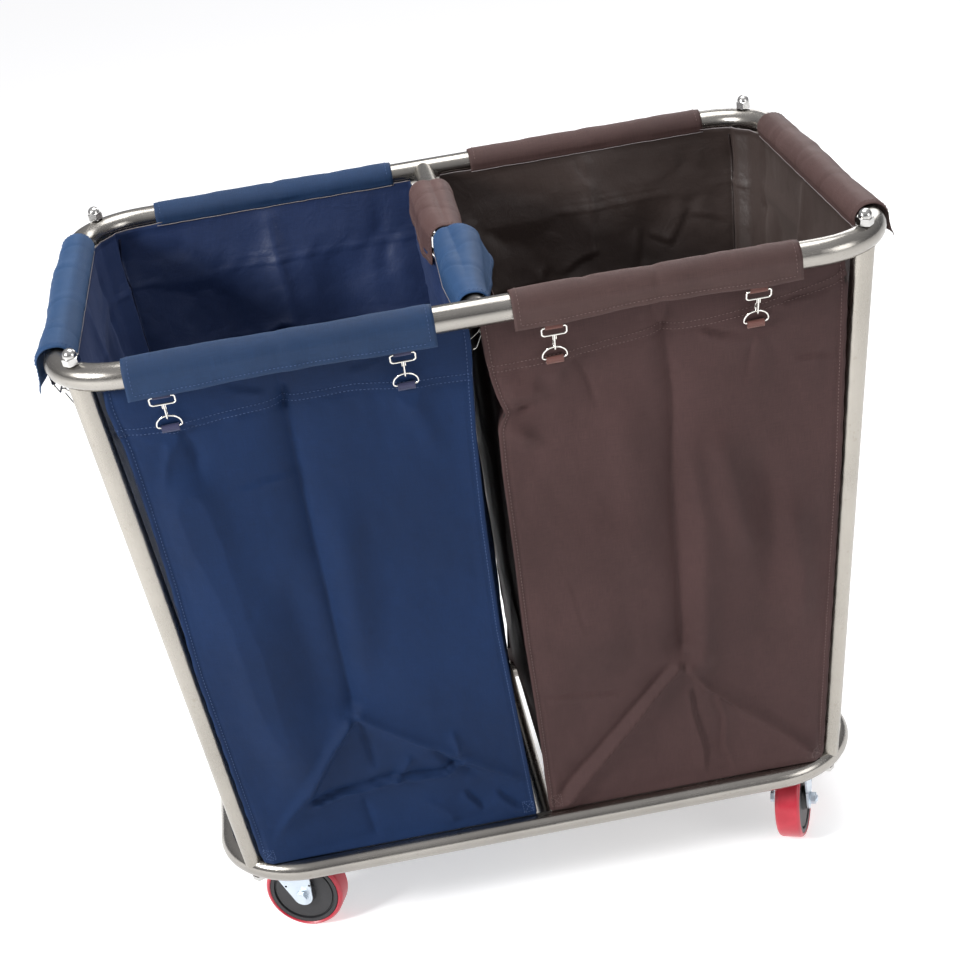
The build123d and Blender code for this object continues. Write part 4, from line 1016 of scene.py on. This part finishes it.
def stitch_bag(bag):
    cols = len(PANEL)
    # two rows along the seam under the top band
    for above in (1.0, 8.5):
        bag.stitch([(col, bag.seam_z[SEAM_ROW, int(col) % cols] + above)
                    for col in np.arange(0, cols + 1, 0.5)])
    # one row down each corner, on the front and rear panels; inward is a step in columns
    corners = list(zip(STARTS[:4], (1, -1, 1, -1)))
    for start, inward in corners:
        col = start + inward * 1.9
        bag.stitch([(col, z) for z in np.linspace(BAG_TOP - 12, BAG_LOW + 8, 120)])
    # crossed reinforcement squares at the front panel's bottom corners
    square = 14.0
    width = square / (PANEL_WIDTH / COUNTS[FRONT])
    low, high = BAG_LOW + 7, BAG_LOW + 7 + square
    for start, inward in corners[:2]:
        near, far = start + inward * 1.2, start + inward * (1.2 + width)
        outline = [(near, low), (far, low), (far, high), (near, high), (near, low)]
        for path in (outline, [(near, low), (far, high)], [(near, high), (far, low)]):
            bag.stitch([(col0 + (col1 - col0) * t, z0 + (z1 - z0) * t)
                        for (col0, z0), (col1, z1) in zip(path[:-1], path[1:])
                        for t in np.linspace(0, 1, 8)], pitch=3.0, length=2.2)


for bag in BAGS.values():
    bag.build()
    stitch_bag(bag)


# ------------------------------------------------------------------ flaps
CORD_RADIUS = 0.55            # pale cord along raw edges


def flap_swell(flap, along, profile, distance, seed):
    """How far the cloth stands off its plain profile at each point."""
    low, high = flap.span
    total = distance[-1]
    hem_start = len(profile) - flap.HEM_POINTS
    place = np.stack([np.full(len(distance), along), distance,
                      np.full(len(distance), seed * 40.0)], 1)
    swell = 0.5 + flap.puff * (0.40 + 0.55 * noise(place, 95.0, seed, 2))
    swell = swell + 0.7 * noise(place, 30.0, seed + 1, 2)
    swell += 0.35 * np.abs(noise(place * np.array([1, 0.5, 1]), 12.0, seed + 3, 2))
    for start, slant, depth in flap.creases:
        x = along - start - slant * (distance - total / 2)
        wave = np.clip(np.sin(distance / total * math.pi * 1.3 + start), 0, 1)
        swell = swell - depth * np.exp(-np.abs(x) / 3.6) * (0.35 + 0.65 * wave)
        swell += 0.3 * depth * bell(x - 16, 12.0)
    in_tail = np.arange(len(profile)) < hem_start - flap.ARC_POINTS
    swell = np.where(in_tail, np.clip(swell, 0, 0.6), swell)
    swell = np.maximum(0.0, swell) * min(1.0, (min(along - low, high - along) + 3.0) / 10.0)
    # the hem waves in and out, more so towards its edge
    hem_row = np.arange(len(profile)) - hem_start
    in_hem = hem_row >= 0
    wave = 0.9 * math.sin(along / 16.0 + seed) + 0.5 * math.sin(along / 7.3 + 2 * seed)
    hem_swell = np.minimum(swell, 2.2) * 0.8 + wave * (hem_row + 1) / flap.HEM_POINTS
    swell = np.maximum(np.where(in_hem, hem_swell, swell), -0.4)
    # doubled cloth along the bottom edge and a drawn-in stitch line
    to_edge = total - distance
    return swell + 0.5 * (to_edge < 6.5) - 0.6 * bell(to_edge - 6.0, 1.3) * in_hem


def build_flap(flap, seed):
    key = flap.key
    low, high = flap.span
    rows, uvs = [], []
    for along in np.linspace(low, high, int((high - low) / 3.4) + 1):
        profile = flap.profile(along)
        distance = path_lengths(profile)
        tangent = np.gradient(profile, axis=0)
        tangent /= np.linalg.norm(tangent, axis=1)[:, None]
        normal = np.c_[-tangent[:, 1], tangent[:, 0]]
        sign = np.sign((normal * profile).sum(1))
        normal *= np.where(sign == 0, 1, sign)[:, None]
        swell = flap_swell(flap, along, profile, distance, seed)
        rows.append(flap.point(along, *(profile + normal * swell[:, None]).T))
        uvs.append(np.c_[np.full(len(distance), along), distance])
    grid, uvs = np.array(rows), np.array(uvs)
    count = len(grid)
    # flaps marked lit get the brighter copy of the flap cloth: painted light, not a different cloth
    outside = key + ("_flap_lit" if flap.lit else "_flap")
    made = make_object(f"{flap.name}_flap", grid.reshape(-1, 3), grid_faces(*grid.shape[:2]),
                       uvs.reshape(-1, 2), MATERIALS[outside], MATERIALS[key + "_in"])
    face_outward(made, (0, 0, 1))
    solidify(made, 0.8)

    normals = unit(np.cross(np.gradient(grid, axis=0), np.gradient(grid, axis=1)))
    from_axis = grid - flap.point(0, 0, 0)
    from_axis[..., 1 if flap.normal[0] else 0] = 0
    normals *= np.where((normals * from_axis).sum(2) < 0, -1, 1)[..., None]

    # a stitch row along the hem and one down each end
    thread = THREAD[key]
    hem_line = [[np.interp(uvs[i, -1, 1] - 5.2, uvs[i, :, 1], grid[i, :, axis])
                 for axis in range(3)] for i in range(2, count - 2)]
    thread.run(hem_line, normals[2:count - 2, -3], lift=0.55)
    for i in (2, count - 3):
        thread.run(grid[i, 6:-2], normals[i, 6:-2], lift=0.5)

    # pale cord on the inner edge
    edge = grid[:, 0] + normals[:, 0] * 0.5
    edge[:, 2] += 0.7 * noise(edge, 16.0, seed + 8, 2) - 0.1
    cord = make_object(f"{flap.name}_edge_cord", *tube_mesh(edge, CORD_RADIUS), None,
                       MATERIALS["pale_thread"])
    register(cord, f"{key}_cloth")
    register(made, f"{key}_cloth", *([f"{key}_flaps"] if flap.panel == FRONT else []))


for index, flap in enumerate(FLAPS):
    build_flap(flap, seed=2 + 3 * index)


# ------------------------------------------------------------------ bag edges
def build_bag_edges(bag):
    top = bag.grid[0]
    inward = top.mean(0) - top
    inward[:, 2] = 0
    inward /= np.linalg.norm(inward, axis=1)[:, None]

    # pale overlock cord along the top edge wherever no flap covers it
    line = top + inward * 1.0 + np.array([0, 0, 0.1])
    line[:, 2] += 0.5 * noise(line, 14.0, bag.seed + 4, 2)
    order = np.roll(np.arange(len(top)), -int(np.argmin(bag.free_top)))
    overlock = Parts()
    for run in np.split(order, np.flatnonzero(~bag.free_top[order])):
        run = run[bag.free_top[run]]
        if len(run) > 3:
            overlock.add(*tube_mesh(line[run], CORD_RADIUS))
    register(overlock.build(f"{bag.key}_top_overlock", "pale_thread"), f"{bag.key}_cloth")

    # dark binding down the inside corners
    binding = Parts()
    for col in STARTS[:4]:
        path = bag.grid[4:-6, col] + inward[col] * 2.4
        path[:, :2] += 0.5 * np.sin(path[:, 2:3] / 14.0)
        binding.add(*tube_mesh(path[::2], radius=1.5, sides=8))
    register(binding.build(f"{bag.key}_corner_binding", f"{bag.key}_binding"),
             f"{bag.key}_cloth")


for bag in BAGS.values():
    build_bag_edges(bag)
for key, thread in THREAD.items():
    register(thread.build(f"{key}_stitching", f"{key}_thread"), f"{key}_cloth")

# ------------------------------------------------------------------ webbing
WEB_HALF = 9.5                # half the tape's width
LOOP_RADIUS = 2.0
# (out, up) from the upper loop's centre to the lower loop's, on a line tilted inward
TILT = math.radians(26.0)
LOOP_OUT = -(52.7 * math.sin(TILT) + 5.0 * math.cos(TILT))
LOOP_UP = -(52.7 * math.cos(TILT) - 5.0 * math.sin(TILT))
TAPE_ACROSS = np.array([-1, -0.93, -0.6, -0.2, 0.2, 0.6, 0.93, 1]) * WEB_HALF


def add_ribbon(parts, flap, hook, path):
    """Woven tape along an (out, up) path at a hook's place, its edges slightly rolled."""
    path = np.array(path, float)
    distance = path_lengths(path)
    tangent = unit(np.gradient(path, axis=0))
    normal = np.c_[-tangent[:, 1], tangent[:, 0]]
    points, uvs = [], []
    for i in range(len(path)):
        for x in TAPE_ACROSS:
            roll = -0.12 if abs(x) > WEB_HALF * 0.9 else 0.0
            points.append(flap.point(hook + x, *(path[i] + normal[i] * roll)))
            uvs.append((x, distance[i]))
    parts.add(points, grid_faces(len(path), len(TAPE_ACROSS)), uvs)


def loop(out, up, start, stop):
    """Arc of the tape round a wire, between two angles in degrees."""
    return [(out + LOOP_RADIUS * math.cos(a), up + LOOP_RADIUS * math.sin(a))
            for a in np.linspace(math.radians(start), math.radians(stop), 15)]


def wall_offset(bag, flap, hook, z):
    """How far out from the rail's axis the bag's wall is, behind a tape at a height."""
    row = bag.grid[int(np.argmin(np.abs(bag.heights - z)))]
    along = row[:, flap.panel % 2]
    out = (row[:, :2] - flap.axis) @ np.array(flap.normal)
    return out[(np.abs(along - hook) < 14.0) & (np.abs(out) < 60)].max()


def upper_tab(flap, hook, out, up):
    """Tape from the flap's hem down round a wire at (out, up) and back."""
    profile = flap.profile(hook)
    if flap.on_bar:
        sewn = profile[-1] * 0.35 + profile[-6] * 0.65
        top_out = min(sewn[0], profile[-4, 0]) - 2.3
        top_up = max(up + 14, sewn[1] + 2)
    else:
        lower = profile[:-13:-1]
        hem_out = np.interp(up + 14, lower[:, 1], lower[:, 0])
        top_out = max(min(hem_out, profile[-4, 0]) - 2.3, out + 0.5)
        top_out = min(top_out, 14.4)
        top_up = up + 13
    middle_out, middle_up = (top_out + out) / 2, (top_up + up) / 2 + 2
    return [(top_out + 0.9, top_up), (middle_out + 1.3, middle_up), *loop(out, up, 25, -205),
            (middle_out - 0.3, middle_up), (top_out - 0.2, top_up)]


def lower_tab(bag, flap, hook, out, up):
    """Tape sewn to the bag's band just under the D ring's bar, which lies at (out, up)."""
    wall = max(wall_offset(bag, flap, hook, TOP_Z + up - below) for below in (7, 4, 1))
    wall = min(wall + 0.9, out - 0.4)
    middle = wall * 0.35 + out * 0.65
    return [(wall + 1.5, up - 6.5), (middle + 2.0, up - 3.2), *loop(out, up, -35, 205),
            (middle - 1.2, up - 3.2), (wall + 0.2, up - 6.3)]


for key, bag in BAGS.items():
    tapes = Parts()
    for flap in bag.flaps:
        out, up = (14.2, -33.0) if flap.on_bar else (11.1, -26.0)
        for hook in flap.hooks:
            add_ribbon(tapes, flap, hook, upper_tab(flap, hook, out, up))
            add_ribbon(tapes, flap, hook, lower_tab(bag, flap, hook, out + LOOP_OUT, up + LOOP_UP))
    webbing = tapes.build(f"{key}_webbing", f"{key}_web")
    solidify(webbing, 0.9)
    register(webbing, f"{key}_webbing", f"{key}_webbing_tabs")


# ------------------------------------------------------------------ floor
def studio_white():
    """Diffuse white with a little glow, so that it stays white out to the horizon."""
    material, nodes = new_material("studio_white")
    white = 0.80
    tone = nodes.noise(Scale=3.0, Detail=3.0)
    nodes.finish("BsdfPrincipled", "Material", {
        "Base Color": nodes.gray_ramp(tone, (0.3, white * 0.985), (0.7, white)),
        "Roughness": 0.9,
        "Specular IOR Level": 0.0,
        "Emission Color": (1, 1, 1, 1),
        "Emission Strength": 0.52,
    })
    return material


FLOOR_HALF = 30000
FLOOR_CORNERS = [(x * FLOOR_HALF, y * FLOOR_HALF, 0) for x, y in ((-1, -1), (1, -1), (1, 1), (-1, 1))]
floor = make_object("studio_floor", FLOOR_CORNERS, [(0, 1, 2, 3)], None, studio_white())


# ------------------------------------------------------------------ world and lights
def build_world():
    """Sky from gray below to white above, dimmed for light and plain white to the camera."""
    world = bpy.data.worlds.new("studio_world")
    bpy.context.scene.world = world
    nodes = Nodes(world)
    split = nodes.add("SeparateXYZ", {0: nodes.add("TexCoord").outputs["Generated"]})
    height = nodes.add("MapRange", {"From Min": -1, "From Max": 1, "Value": split.outputs[2]})
    sky = nodes.ramp(height.outputs[0], (0.46, (0.16, 0.16, 0.17)), (0.92, (1.0, 1.0, 1.0)))
    to_camera = nodes.add("LightPath").outputs["Is Camera Ray"]
    dimmed = nodes.mix(1.0, sky, (0.62, 0.62, 0.64, 1), blend="MULTIPLY")
    color = nodes.mix(to_camera, dimmed, (1.0, 1.0, 1.0, 1))
    nodes.finish("Background", "World", {"Color": color, "Strength": 1.0})


def softbox(name, location, target_z, size, power):
    """Square area light aimed at a point on the trolley's middle axis; metres and watts."""
    light = bpy.data.lights.new(name, "AREA")
    light.energy = power
    light.shape = "RECTANGLE"
    light.size = size
    light.size_y = size
    made = bpy.data.objects.new(name, light)
    made.location = location
    aim = Vector((0, 0, target_z)) - Vector(location)
    made.rotation_euler = aim.to_track_quat("-Z", "Y").to_euler()
    bpy.context.scene.collection.objects.link(made)


build_world()
softbox("key_softbox", location=(-3.0, -1.55, 2.3), target_z=0.45, size=0.9, power=150)
softbox("fill_softbox", location=(2.6, -2.6, 1.6), target_z=0.45, size=1.6, power=30)
softbox("top_softbox", location=(0.3, 0.5, 3.2), target_z=0.5, size=1.8, power=50)
softbox("rear_softbox", location=(1.6, 2.6, 1.9), target_z=0.6, size=1.4, power=22)

# ------------------------------------------------------------------ camera
CAMERA_PLACE = Vector((-0.150107, -2.268010, 1.533299))
# axis times angle of the turn from the world to a view with x right, y down, z forward
VIEW_TURN = Vector((1.986683517233326, -0.21630660017880116, -0.057912677106136345))

camera_data = bpy.data.cameras.new("camera")
camera_data.sensor_width = 36.0
camera_data.lens = 75.77475
camera_data.clip_end = 100
camera = bpy.data.objects.new("camera", camera_data)
view = Matrix.Rotation(VIEW_TURN.length, 3, VIEW_TURN.normalized())
facing = view.transposed() @ Matrix.Diagonal((1, -1, -1))
camera.matrix_world = Matrix.Translation(CAMERA_PLACE) @ facing.to_4x4()
bpy.context.scene.collection.objects.link(camera)
bpy.context.scene.camera = camera
bpy.context.scene.view_settings.view_transform = "Standard"
